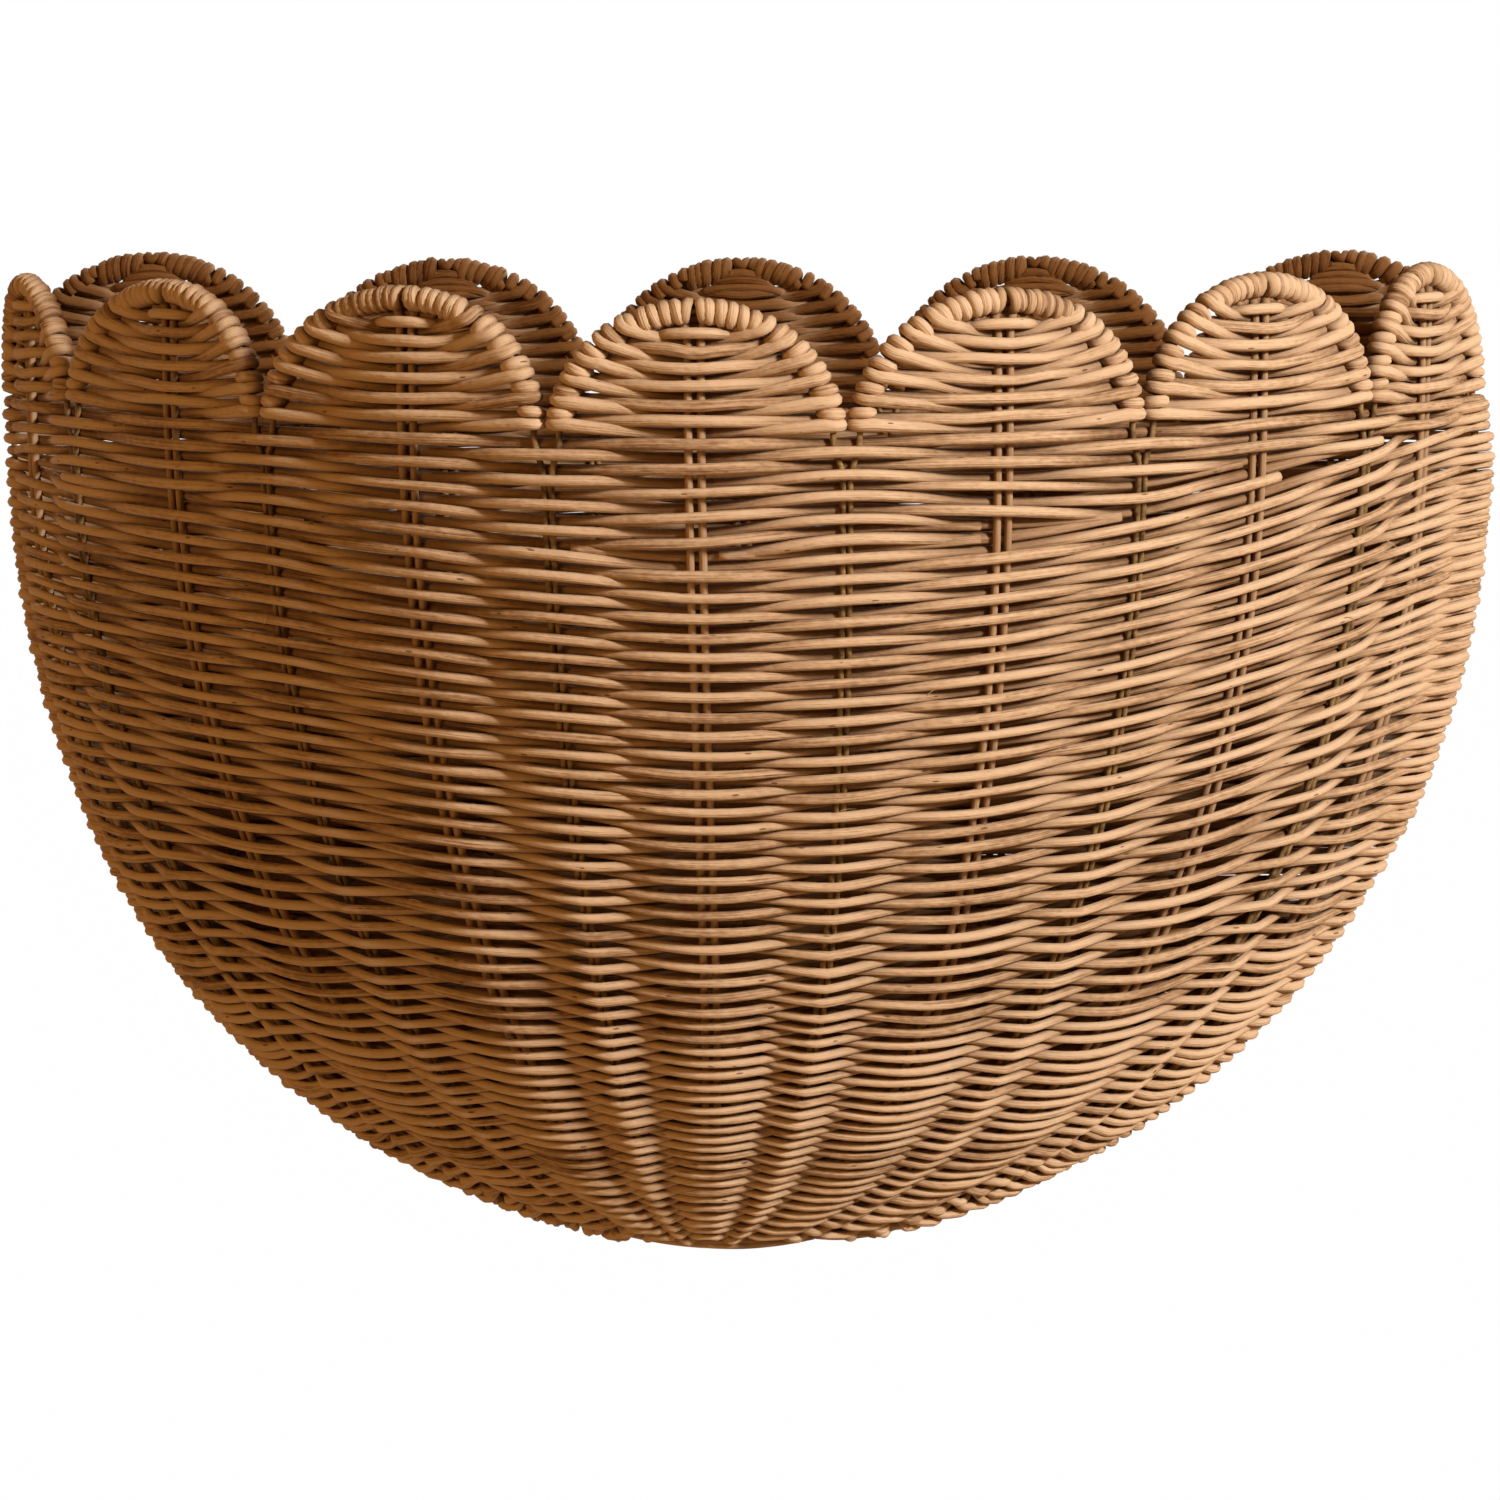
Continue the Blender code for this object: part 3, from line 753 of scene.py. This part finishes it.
loop_stations = np.arange(STATIONS * STATION_SAMPLES) / STATION_SAMPLES
whole_stations = np.arange(STATIONS + 1)
from_corners = np.abs(loop_stations - np.array(CORNER_PLACES)[:, None])
from_corners = np.minimum(from_corners, STATIONS - from_corners)
near_corners = np.clip(1 - from_corners / CORNER_REACH, 0, 1) ** 2
at_corners = (from_corners / np.array(CORNER_FLAT_REACHES)[:, None]).min(axis=0)
at_corners = np.clip(CORNER_FLAT_EDGE - at_corners, 0, 1)
in_front = blurred((loop_stations < FRONT_STATIONS).astype(float), HEIGHT_SOFTNESS)
rise_at = np.interp(whole_stations, RISE_STATIONS, RISE_SHARES) * CORNER_RISE


def over_under(heights, side_at_stakes, lift):
    """How far the row stands out of the middle surface, at each sample of the loop.

    High up the cane crosses steeply from rod to rod, low down it runs smoothly over the stakes and
    kinks at the wires, and at the corners it lies nearly flat.
    """
    low = loop_stations.astype(int)
    part = loop_stations - low
    odd = low % 2 == 1
    from_stake = np.where(odd, part, 1 - part)
    ring = loop_place(whole_stations[:-1].astype(float), np.full(STATIONS, heights.mean()))
    gap = np.linalg.norm(np.roll(ring, -1, axis=0) - ring, axis=1)[low]
    near = np.minimum(FLAT_OVER_STAKES / np.maximum(gap, 1e-4), MOST_FLAT_SHARES[0])
    far = np.minimum(FLAT_OVER_WIRES / np.maximum(gap, 1e-4), MOST_FLAT_SHARES[1])
    share = np.clip((from_stake - near) / (1 - near - far), 0, 1)
    straight = KINK_STRAIGHT_SHARE
    kinked = straight * share + (1 - straight) * share * share * (2 - share)
    steep = np.clip((share - 0.5) * STEEPNESS + 0.5, 0, 1)
    steep = steep * steep * (3 - 2 * steep)
    kink = np.interp(-heights, KINK_DEPTHS, (0, 1))
    share = steep * (1 - kink) + kinked * kink
    at_stake = side_at_stakes * (STAKE_RADIUS + CANE_RADIUS)
    at_wire = -side_at_stakes * (WIRE_RADIUS + CANE_RADIUS)
    kept = np.interp(-heights, LIFT_DEPTHS, LIFT_SHARES) * (1 - (1 - CORNER_LIFT_SHARE) * at_corners)
    rounded = sum(
        amount * close * np.interp(-heights, CORNER_LIFT_DEPTHS, fades)
        for amount, close, fades in zip(CORNER_LIFTS, near_corners, CORNER_LIFT_FADES)
    )
    return (at_stake * (1 - share) + at_wire * share) * kept + rounded + lift


def row_line(station_heights, side_at_stakes, first=0, last=STATIONS):
    """The cane's middle line all round the basket, one point a sample. Beyond its first and last station
    a row stays on the side of the rods that it is on there."""
    samples = len(loop_stations)
    heights = np.interp(loop_stations, whole_stations, np.append(station_heights, station_heights[0]))
    heights = blurred(heights, HEIGHT_SOFTNESS) + slow_noise(samples, STATION_SAMPLES // 2, ROW_WANDER)
    middle = blurred(loop_place(loop_stations, heights), CORNER_SOFTNESS)
    higher = blurred(loop_place(loop_stations, heights + SLOPE_STEP * DROP), CORNER_SOFTNESS)
    across = np.roll(middle, -1, axis=0) - np.roll(middle, 1, axis=0)
    outward = unit(np.cross(across, higher - middle))
    droop = np.interp(-heights, DROOP_DEPTHS, DROOP_SHARES) * in_front
    outward[:, 2] = outward[:, 2] * droop - outward[:, 1] * BEATEN_UP * (1 - droop)
    lift = slow_noise(samples, STATION_SAMPLES // 2, ROW_LIFT_WANDER)
    lift = blurred(lift, HEIGHT_SOFTNESS)
    lifts = over_under(heights, side_at_stakes, lift)
    if last - first < STATIONS:
        tail = np.arange(STATION_SAMPLES)
        kept = 1 - TAIL_RETURN * tail / STATION_SAMPLES
        lifts[(first * STATION_SAMPLES - tail) % samples] = lifts[first * STATION_SAMPLES % samples] * kept
        lifts[(last * STATION_SAMPLES + tail) % samples] = lifts[last * STATION_SAMPLES % samples] * kept
    return middle + outward * lifts[:, None]


def cut_row(line, swelling, first, last, end_shares=(1, 1)):
    """The stretch of a row from one station to another, which may run past the last station. A hidden
    tail thins out to a share of the cane's thickness."""
    start = int(round(first * STATION_SAMPLES))
    end = int(round(last * STATION_SAMPLES))
    picks = np.arange(start, end)
    picks = np.append(picks[np.isin(picks % STATION_SAMPLES, RINGS) | (picks == start)], end)
    station = np.mod(picks / STATION_SAMPLES, STATIONS)
    thickness = np.interp(station, whole_stations, np.append(swelling, swelling[0]))
    uneven = rng.normal(0, ROW_THICKNESS_SPREAD) + slow_noise(len(picks), ROW_SWELL_STEPS, ROW_SWELL)
    thickness = thickness * (1 + uneven)
    thickness = thickness * (1 + (CORNER_THICKNESS - 1) * at_corners[picks % len(line)])
    from_start = np.clip((picks - start) / STATION_SAMPLES / HIDDEN_TAIL_SHARE, 0, 1)
    from_end = np.clip((end - picks) / STATION_SAMPLES / HIDDEN_TAIL_SHARE, 0, 1)
    thickness = thickness * (end_shares[0] + (1 - end_shares[0]) * from_start)
    thickness = thickness * (end_shares[1] + (1 - end_shares[1]) * from_end)
    return thick(line[picks % len(line)], thickness)


# Heights of the long rows at each station, from the middle of the front
fine_heights = -np.linspace(0, DROP, HEIGHT_SAMPLES)
profile = front_place(np.full(HEIGHT_SAMPLES, 0.5), fine_heights)
profile_length = np.concatenate([[0], np.cumsum(np.linalg.norm(np.diff(profile, axis=0), axis=1))])
long_rows = []
height = -FIRST_ROW - SHORT_ROWS * ROW_PITCH * SHORT_PITCH_SHARE
while height > -LAST_ROW:
    fade = np.interp(-height, FADE_DEPTHS, FADE_SHARES)
    long_rows.append(height + rise_at[:-1] * fade)
    at = np.interp(-height, -fine_heights, profile_length) + np.interp(-height, PITCH_DEPTHS, PITCHES)
    height = float(np.interp(at, profile_length, fine_heights))

# Short rows: each pair ends, on both sides, where the long rows leave it no room. A row ends inside,
# behind a rod, apart from a few whose cut ends stay outside.
capacity = (-FIRST_ROW - long_rows[0]) / (ROW_PITCH * SHORT_PITCH_SHARE)
present = np.zeros((SHORT_ROWS, STATIONS), bool)
present[0] = True
short_ranges = {}
for pair in range(1, SHORT_ROWS // 2 + 1):
    ends = []
    for step in (-2, 2):
        station = FRONT_STATIONS // 2
        while capacity[(station + step) % STATIONS] > 2 * pair - 0.5 and abs(station) < STATIONS:
            station += step
        ends.append(station)
    for row, wider in ((2 * pair, 0), (2 * pair - 1, 1)):
        first = ends[0] - wider + (row not in ENDS_OUTSIDE_LEFT)
        last = ends[1] + wider - (row not in ENDS_OUTSIDE_RIGHT)
        short_ranges[row] = (first, last)
        present[row, np.arange(first, last + 1) % STATIONS] = True
places = np.cumsum(present, axis=0) - 1
counts = present.sum(axis=0)
short_heights = -FIRST_ROW + (long_rows[0] + FIRST_ROW) * np.minimum(places, counts) / counts

# Extra rows lower down, a pair for every few rows: round each corner only, or along the whole back
# where the rise of the rows is taken back
row_heights = np.concatenate([short_heights, long_rows])
numbers = np.arange(len(row_heights))
group = ROWS_PER_EXTRA_PAIR
order = np.arange(group) + np.where(np.arange(group) < group // 2, 0, 2)
spaced = row_heights.copy()
extra_rows = []
for start in range(SHORT_ROWS, len(row_heights) - group, group):
    depth = -row_heights[start + group // 2, FRONT_STATIONS // 2]
    if depth < EXTRA_PAIRS_FROM:
        continue
    if FADE_DEPTHS[1] - BACK_PAIRS_MARGINS[0] < depth < FADE_DEPTHS[2] + BACK_PAIRS_MARGINS[1]:
        pair_spans = ((FRONT_STATIONS - 1, STATIONS + 1),)
    else:
        pair_spans = ((-1, 1), (FRONT_STATIONS - 1, FRONT_STATIONS + 1))
    for first, last in pair_spans:
        stations = np.arange(first, last + 1) % STATIONS
        for station in stations:
            taken = start + order * group / (group + 2)
            spaced[start : start + group, station] = np.interp(taken, numbers, row_heights[:, station])
        for extra in (group // 2, group // 2 + 1):
            heights = row_heights[start + extra - 1].copy()
            for station in stations:
                between = start + extra * group / (group + 2)
                heights[station] = np.interp(between, numbers, row_heights[:, station])
            extra_rows.append((heights, first, last, 1 if (start + extra) % 2 == 0 else -1))
row_heights = spaced
spacings = np.empty_like(row_heights)
for station in range(STATIONS):
    run = loop_place(np.full(HEIGHT_SAMPLES, float(station)), fine_heights)
    run_length = np.concatenate([[0], np.cumsum(np.linalg.norm(np.diff(run, axis=0), axis=1))])
    spacings[:, station] = np.gradient(np.interp(-row_heights[:, station], -fine_heights, run_length))
swellings = np.clip(spacings / ROW_PITCH, LEAST_THICKNESS, MOST_THICKNESS)
behind = np.arange(STATIONS) > FRONT_STATIONS
back_swellings = spacings[:, behind] / ROW_PITCH * BACK_SPREAD
swellings[:, behind] = np.clip(back_swellings, BACK_THICKNESS, MOST_BACK_THICKNESS)
for corner, limits in ((0, LEFT_CORNER_THICKNESSES), (FRONT_STATIONS, RIGHT_CORNER_THICKNESSES)):
    swellings[:, corner] = np.clip(spacings[:, corner] / ROW_PITCH, *limits)

extra_swelling = np.where(behind, BACK_THICKNESS, 1)
drift = rng.normal(0, ROW_DRIFT, STATIONS)
rows = []
for number, (heights, swelling) in enumerate(zip(row_heights, swellings)):
    drift = drift * ROW_DRIFT_KEPT + rng.normal(0, ROW_DRIFT * ROW_DRIFT_STEP_SHARE, STATIONS)
    side_at_stakes = 1 if number % 2 == 0 else -1
    first, last = short_ranges.get(number, (0, STATIONS))
    drifted = heights + drift * min(number / DRIFT_FROM_ROW, 1)
    line = row_line(drifted, side_at_stakes, first, last)
    if number in short_ranges:
        shown = (number in ENDS_OUTSIDE_LEFT, number in ENDS_OUTSIDE_RIGHT)
        tails = [TAIL_SHARE if seen else HIDDEN_TAIL_SHARE for seen in shown]
        tapers = [1 if seen else HIDDEN_TAIL_TAPER for seen in shown]
        rows.append(cut_row(line, np.maximum(swelling, 1), first - tails[0], last + tails[1], tapers))
    else:
        seam = FRONT_STATIONS + 2 * rng.integers(1, 5) + (1 if side_at_stakes < 0 else 0)
        rows.append(cut_row(line, swelling, seam, seam + STATIONS))

for heights, first, last, side_at_stakes in extra_rows:
    if side_at_stakes > 0:
        first, last = first - 1, last + 1
    line = row_line(heights, side_at_stakes, first, last)
    tapers = (HIDDEN_TAIL_TAPER, HIDDEN_TAIL_TAPER)
    ends = (first - CORNER_TAIL_SHARE, last + CORNER_TAIL_SHARE)
    rows.append(cut_row(line, extra_swelling, *ends, tapers))

cane = Finish(bpy.data.materials.new("woven_cane"))
strand = cane.node("ShaderNodeAttribute", {"attribute_name": "strand"})["Fac"]
grain = cane.node("ShaderNodeAttribute", {"attribute_name": "grain"})["Vector"]
fibres = noise(cane, grain, (55.0, 3300.0, 3300.0), 3.0)
streaks = noise(cane, grain, (22.0, 1300.0, 1300.0), 2.0)
stretches = noise(cane, grain, (34.0, 150.0, 150.0), 2.0)
mottling = noise(cane, grain, (420.0, 900.0, 900.0), 5.0)
lumps = noise(cane, grain, (75.0, 0.0, 0.0), 1.0)
knots = cane.node("ShaderNodeMapRange", None, {"Value": lumps, "From Min": 0.62, "From Max": 0.80})["Result"]
tone = strand * 0.46 + stretches * 0.66 + fibres * 0.78 + streaks * 0.72 + mottling * 0.58
tone = tone - 1.04 - knots * 0.18
tint = cane.node(
    "ShaderNodeValToRGB",
    {
        "stops": [
            (0.08, (0.27, 0.130, 0.052)),
            (0.32, (0.4167, 0.2607, 0.1501)),
            (0.32, (0.47, 0.280, 0.148)),
            (0.58, (0.63, 0.420, 0.255)),
        ]
    },
    {"Fac": tone},
)["Color"]
stretched = cane.node("ShaderNodeMapping", None, {"Vector": grain, "Scale": (170.0, 650.0, 650.0)})["Vector"]
cells = cane.node(
    "ShaderNodeTexVoronoi",
    {"feature": "F1"},
    {"Vector": stretched, "Scale": 1.0, "Randomness": 1.0},
)
rare = cane.node("ShaderNodeSeparateColor", None, {"Color": cells["Color"]})["Red"] > 0.86
specks = (cells["Distance"] < 0.15) * rare
tint = blend(cane, "MIX", specks * 0.75, tint, (0.12, 0.045, 0.012, 1))
# Painted shade inside the weave and on the basket's inner face.
painted_shade_amount = cane.node("ShaderNodeAttribute", {"attribute_name": "painted_shade_depth"})["Fac"]
tint = blend(cane, "MULTIPLY", painted_shade_amount, tint, PAINTED_SHADE_TINT)
relief = fibres * 0.7 + streaks * 0.6 + mottling * 0.8 - specks * 0.6 + knots * 0.5
ridges = cane.node("ShaderNodeBump", None, {"Height": relief, "Strength": 1.0, "Distance": 0.0004})
shader = cane.node(
    "ShaderNodeBsdfPrincipled",
    None,
    {
        "Base Color": tint,
        "Roughness": fibres * 0.22 + 0.48,
        "Specular IOR Level": 0.05,
        "Normal": ridges["Normal"],
    },
)
cane.node("ShaderNodeOutputMaterial", None, {"Surface": shader["BSDF"]})

BANDS = 4
for band in range(BANDS):
    rods(
        f"woven_rows_{band + 1}",
        rows[len(rows) * band // BANDS : len(rows) * (band + 1) // BANDS],
        CANE_RADIUS,
        cane,
        "woven_rattan",
        "front_woven_wall",
        "back_woven_wall",
    )

# Scallop weave
# The same cane goes to and fro inside each arch. Every second pass is wrapped once more round the wire
# where it turns back, which leaves a short stub of cane on the wire between two long passes. The two
# outer back scallops leave their top pass out, as a recess for the nail or hook that holds the basket.
WRAP_GAP = 0.00012
WRAP_REACH = WIRE_RADIUS + CANE_RADIUS + WRAP_GAP
WRAP_THICKNESS = 1.16
PASS_THICKNESS = 1.11
PASS_END_SWELL = 0.20
CANE_THICKNESS_SPREAD = 0.04
CANE_SWELL = 0.02
CANE_SWELL_STEPS = 20
EDGE_HEIGHT_SHARES = {
    "front": (0.095, 0.279, 0.452, 0.613, 0.748, 0.859),
    "back": (0.070, 0.205, 0.340, 0.470, 0.590, 0.700, 0.800, 0.880),
}
MIDDLE_HEIGHT_SHARES = {
    "front": (0.043, 0.193, 0.328, 0.466, 0.607, 0.757),
    "back": (0.030, 0.145, 0.260, 0.370, 0.480, 0.590, 0.695, 0.790),
}
PASS_HEIGHT_SHARES = {
    "front": (0.125, 0.249, 0.397, 0.541, 0.672),
    "back": (0.088, 0.203, 0.315, 0.425, 0.535, 0.643, 0.743),
}
TOP_PASS_SHARE = 0.815
TOP_PASS_HALF = 0.0088
BEHIND_CROWN_SHARES = (0.845, 0.90, 0.955)
BEHIND_CROWN_HALVES = (0.0100, 0.0075, 0.0060)
BEHIND_CROWN_SMILE = 0.001
OPEN_CROWNS = (("back", 1), ("back", 5))
SMILE_POWER = 1.9
PASS_STRAIGHT_SHARE = 0.4
PASS_STEPS = 36
PASS_TURNS = (0.55, 1.65)
STUB_TURNS = (-0.35, 1.42)
HELD_STEPS = 9
STUB_DRIFT = 0.0011
PASS_WANDER = 0.00025
PASS_WANDER_STEPS = 6
EDGE_WANDER = 0.00015


def pass_points(hoop, left, right, middle_height, edge_lift):
    """A cane's run across the scallop between two places on the wire, curved upwards like a smile."""
    side = hoop.side
    ends = (hoop.share_at(left), hoop.share_at(right))
    edge_heights = (hoop.height_at(left), hoop.height_at(right))
    spread = np.linspace(-1, 1, PASS_STEPS)
    along = hoop.centre + spread * np.where(spread < 0, hoop.centre - ends[0], ends[1] - hoop.centre)
    edge = np.where(spread < 0, edge_heights[0], edge_heights[1])
    height = middle_height + (edge - middle_height) * np.abs(spread) ** SMILE_POWER
    height = height + slow_noise(PASS_STEPS, PASS_WANDER_STEPS, PASS_WANDER) * (1 - spread**2)
    half_length = (ends[1] - ends[0]) / 2 * side.length
    flat = min(FLAT_OVER_STAKES / half_length, MOST_FLAT_SHARES[0])
    share = np.clip((np.abs(spread) - flat) / (1 - flat), 0, 1)
    straight = PASS_STRAIGHT_SHARE
    share = straight * share + (1 - straight) * share * share * (3 - 2 * share)
    at_stake = -np.sign(edge_lift) * (STAKE_RADIUS + CANE_RADIUS)
    lift = at_stake * (1 - share) + edge_lift * share
    thickness = PASS_THICKNESS * (1 + PASS_END_SWELL * np.abs(spread) ** 3)
    return thick(side.at(along, height, lift), thickness)[1:-1]


def held(hoop, at, turns, drift=0.0):
    """Points round the wire, from one turn to another, which drift along it on the way."""
    steps = HELD_STEPS * max(int(abs(turns[1] - turns[0]) * 2), 1)
    turn = np.linspace(turns[0], turns[1], steps) * math.pi
    shift = np.linspace(-0.5, 0.5, len(turn)) * drift
    return thick(hoop.round(at + shift, turn, WRAP_REACH), WRAP_THICKNESS)


def varied(line):
    """A scallop's cane with its own thickness."""
    line = softened(line, SOFTEN, RESAMPLE)
    uneven = rng.normal(0, CANE_THICKNESS_SPREAD) + slow_noise(len(line), CANE_SWELL_STEPS, CANE_SWELL)
    line[:, 3] *= 1 + uneven
    return line


for side in (front, back):
    for number, hoop in enumerate(hoops[side.name], 1):
        canes = []
        left_ends, right_ends = [], []
        for edge, middle in zip(EDGE_HEIGHT_SHARES[side.name], MIDDLE_HEIGHT_SHARES[side.name]):
            left = hoop.length_at_height(edge * hoop.rise) + rng.normal(0, EDGE_WANDER)
            right = hoop.length_at_height(edge * hoop.rise, False) + rng.normal(0, EDGE_WANDER)
            left_ends.append(left)
            right_ends.append(right)
            row = pass_points(hoop, left, right, middle * hoop.rise, WRAP_REACH)
            start = held(hoop, left, PASS_TURNS[::-1])
            line = np.concatenate([start, row, held(hoop, right, PASS_TURNS)])
            canes.append(varied(line))
        for place, middle in enumerate(PASS_HEIGHT_SHARES[side.name]):
            left = (left_ends[place] + left_ends[place + 1]) / 2
            right = (right_ends[place] + right_ends[place + 1]) / 2
            row = pass_points(hoop, left - STUB_DRIFT, right + STUB_DRIFT, middle * hoop.rise, -WRAP_REACH)
            start = held(hoop, left, STUB_TURNS, -2 * STUB_DRIFT)
            end = held(hoop, right, STUB_TURNS[::-1], -2 * STUB_DRIFT)
            canes.append(varied(np.concatenate([start, row, end])))
        spread = np.linspace(-1, 1, PASS_STEPS // 2)
        if (side.name, number) not in OPEN_CROWNS:
            along = hoop.centre + spread * TOP_PASS_HALF / side.length
            lift = (STAKE_RADIUS + CANE_RADIUS) * (1 - 1.6 * spread**2)
            top = side.at(along, np.full(len(spread), TOP_PASS_SHARE * hoop.rise), lift)
            canes.append(thick(top, 1.05 - 0.5 * spread**6))
        for share, half in zip(BEHIND_CROWN_SHARES, BEHIND_CROWN_HALVES):
            along = hoop.centre + spread * half / side.length
            lift = -(STAKE_RADIUS + CANE_RADIUS) * (1 - 0.6 * spread**2)
            behind = side.at(along, share * hoop.rise - BEHIND_CROWN_SMILE * spread**2, lift)
            canes.append(thick(behind, 1.0 - 0.3 * spread**6))
        rods(
            f"{side.name}_scallop_weave_{number}",
            canes,
            CANE_RADIUS,
            cane,
            "woven_rattan",
            f"{side.name}_woven_wall",
        )

# Crown coils
# The last length of each scallop's cane is wound tightly round the crown of its arch, turn beside
# turn, on both sides of the stake's fold.
COIL_PITCH = 0.00236
COIL_SINK = 0.00025
COIL_REACH = WIRE_RADIUS + CANE_RADIUS - COIL_SINK
COIL_REACH_WANDER = 0.00012
COIL_WANDER = 0.00030
COIL_THICKNESS = {"front": 1.17, "back": 1.32}
COIL_THICKNESS_SPREAD = 0.05
COIL_CROWDING = 0.55
COIL_START = 0.0027
COIL_TURN_STEPS = 12
FOLD_GAP = 0.0033

for side in (front, back):
    for number, hoop in enumerate(hoops[side.name], 1):
        highest = EDGE_HEIGHT_SHARES[side.name][-1] * hoop.rise
        first = hoop.length_at_height(highest) + COIL_START
        last = hoop.length_at_height(highest, False) - COIL_START
        coils = []
        for start, end in ((first, hoop.crown - FOLD_GAP), (hoop.crown + FOLD_GAP, last)):
            turns = max(round((end - start) / COIL_PITCH), 2)
            steps = np.linspace(-0.5, turns + 0.5, COIL_TURN_STEPS * (turns + 1))
            wobble = slow_noise(len(steps), COIL_TURN_STEPS, COIL_WANDER)
            advance = steps - COIL_CROWDING * np.sin(2 * math.pi * steps) / (2 * math.pi)
            places = start + (end - start) * np.clip(advance, -0.5, turns + 0.5) / turns + wobble
            turn = 0.5 * math.pi - 2 * math.pi * steps
            reach = COIL_REACH + slow_noise(len(steps), COIL_TURN_STEPS, COIL_REACH_WANDER)
            line = hoop.round(places, turn, reach)
            uneven = slow_noise(len(line), COIL_TURN_STEPS, COIL_THICKNESS_SPREAD)
            coils.append(thick(line, COIL_THICKNESS[side.name] + uneven))
        rods(
            f"{side.name}_crown_coil_{number}",
            coils,
            CANE_RADIUS,
            cane,
            "rattan_wrap",
            f"{side.name}_rim_wrap_{number}",
        )

# Base bundle
# The ends of the stakes and of the last rows are gathered into a slim bound bundle along the bottom
# of the back, which closes the bowl.
BUNDLE_HALF = 0.030
BUNDLE_STRANDS = 7
BUNDLE_RADIUS = 0.0016
BUNDLE_SETBACK = 0.0052
BUNDLE_RAISE = 0.0016
BUNDLE_SHIFT = -0.0110
BUNDLE_STEPS = 40
BUNDLE_TAPER = 0.75
BUNDLE_TWIST = 0.6
SHORTEST_END_SHARE = 0.85
END_THICKNESS = 0.95
END_TAPER = 0.35

strands = []
spread = np.linspace(-1, 1, BUNDLE_STEPS)
for place in range(BUNDLE_STRANDS):
    x = BUNDLE_SHIFT + spread * BUNDLE_HALF * rng.uniform(SHORTEST_END_SHARE, 1)
    down = (1 - np.abs(x / HALF_WIDTH) ** (1 / WIDTH_ROUND_POWER)) ** (1 / WIDTH_FALL_POWER)
    reach = BUNDLE_RADIUS * (1 - BUNDLE_TAPER * spread**2)
    twist = 2 * math.pi * place / BUNDLE_STRANDS + spread * BUNDLE_TWIST
    y = -BUNDLE_SETBACK - reach * np.cos(twist)
    z = BUNDLE_RAISE - DROP * down + reach * np.sin(twist)
    strands.append(np.column_stack([x, y, z, END_THICKNESS - END_TAPER * spread**2]))
rods("base_bundle_strands", strands, CANE_RADIUS, cane, "rattan_wrap", "base_bundle")

# Loose fibres
# Fine splinters that have lifted off the canes here and there on the front.
FIBRES = 16
FIBRE_RADIUS = 0.00011
FIBRE_STEPS = 12
FIBRE_LENGTHS = (0.003, 0.009)
FIBRE_PLACE_SHARES = (0.08, 0.92)
FIBRE_HEIGHTS = (-0.150, 0.015)
FIBRE_HEADINGS = (-0.9, 0.9)
FIBRE_CURL = 0.25
FIBRE_LIFT = 0.0014
FIBRE_LIFT_POWER = 1.5
FIBRE_TAPER = 0.75

fibres = []
for place in range(FIBRES):
    along = rng.uniform(*FIBRE_PLACE_SHARES)
    height = rng.uniform(*FIBRE_HEIGHTS)
    length = rng.uniform(*FIBRE_LENGTHS)
    heading = rng.uniform(*FIBRE_HEADINGS)
    run = np.linspace(0, 1, FIBRE_STEPS)
    curl = rng.normal(0, FIBRE_CURL) * run**2
    across = along + (run * math.cos(heading) - curl * math.sin(heading)) * length / RIM_LENGTH
    upward = height + (run * math.sin(heading) + curl * math.cos(heading)) * length
    lift = WIRE_RADIUS + 2 * CANE_RADIUS + FIBRE_LIFT * run**FIBRE_LIFT_POWER
    fibres.append(thick(front.at(across, upward, lift), 1 - FIBRE_TAPER * run))
rods("loose_fibres", fibres, FIBRE_RADIUS, peeled, "woven_rattan", "front_woven_wall")
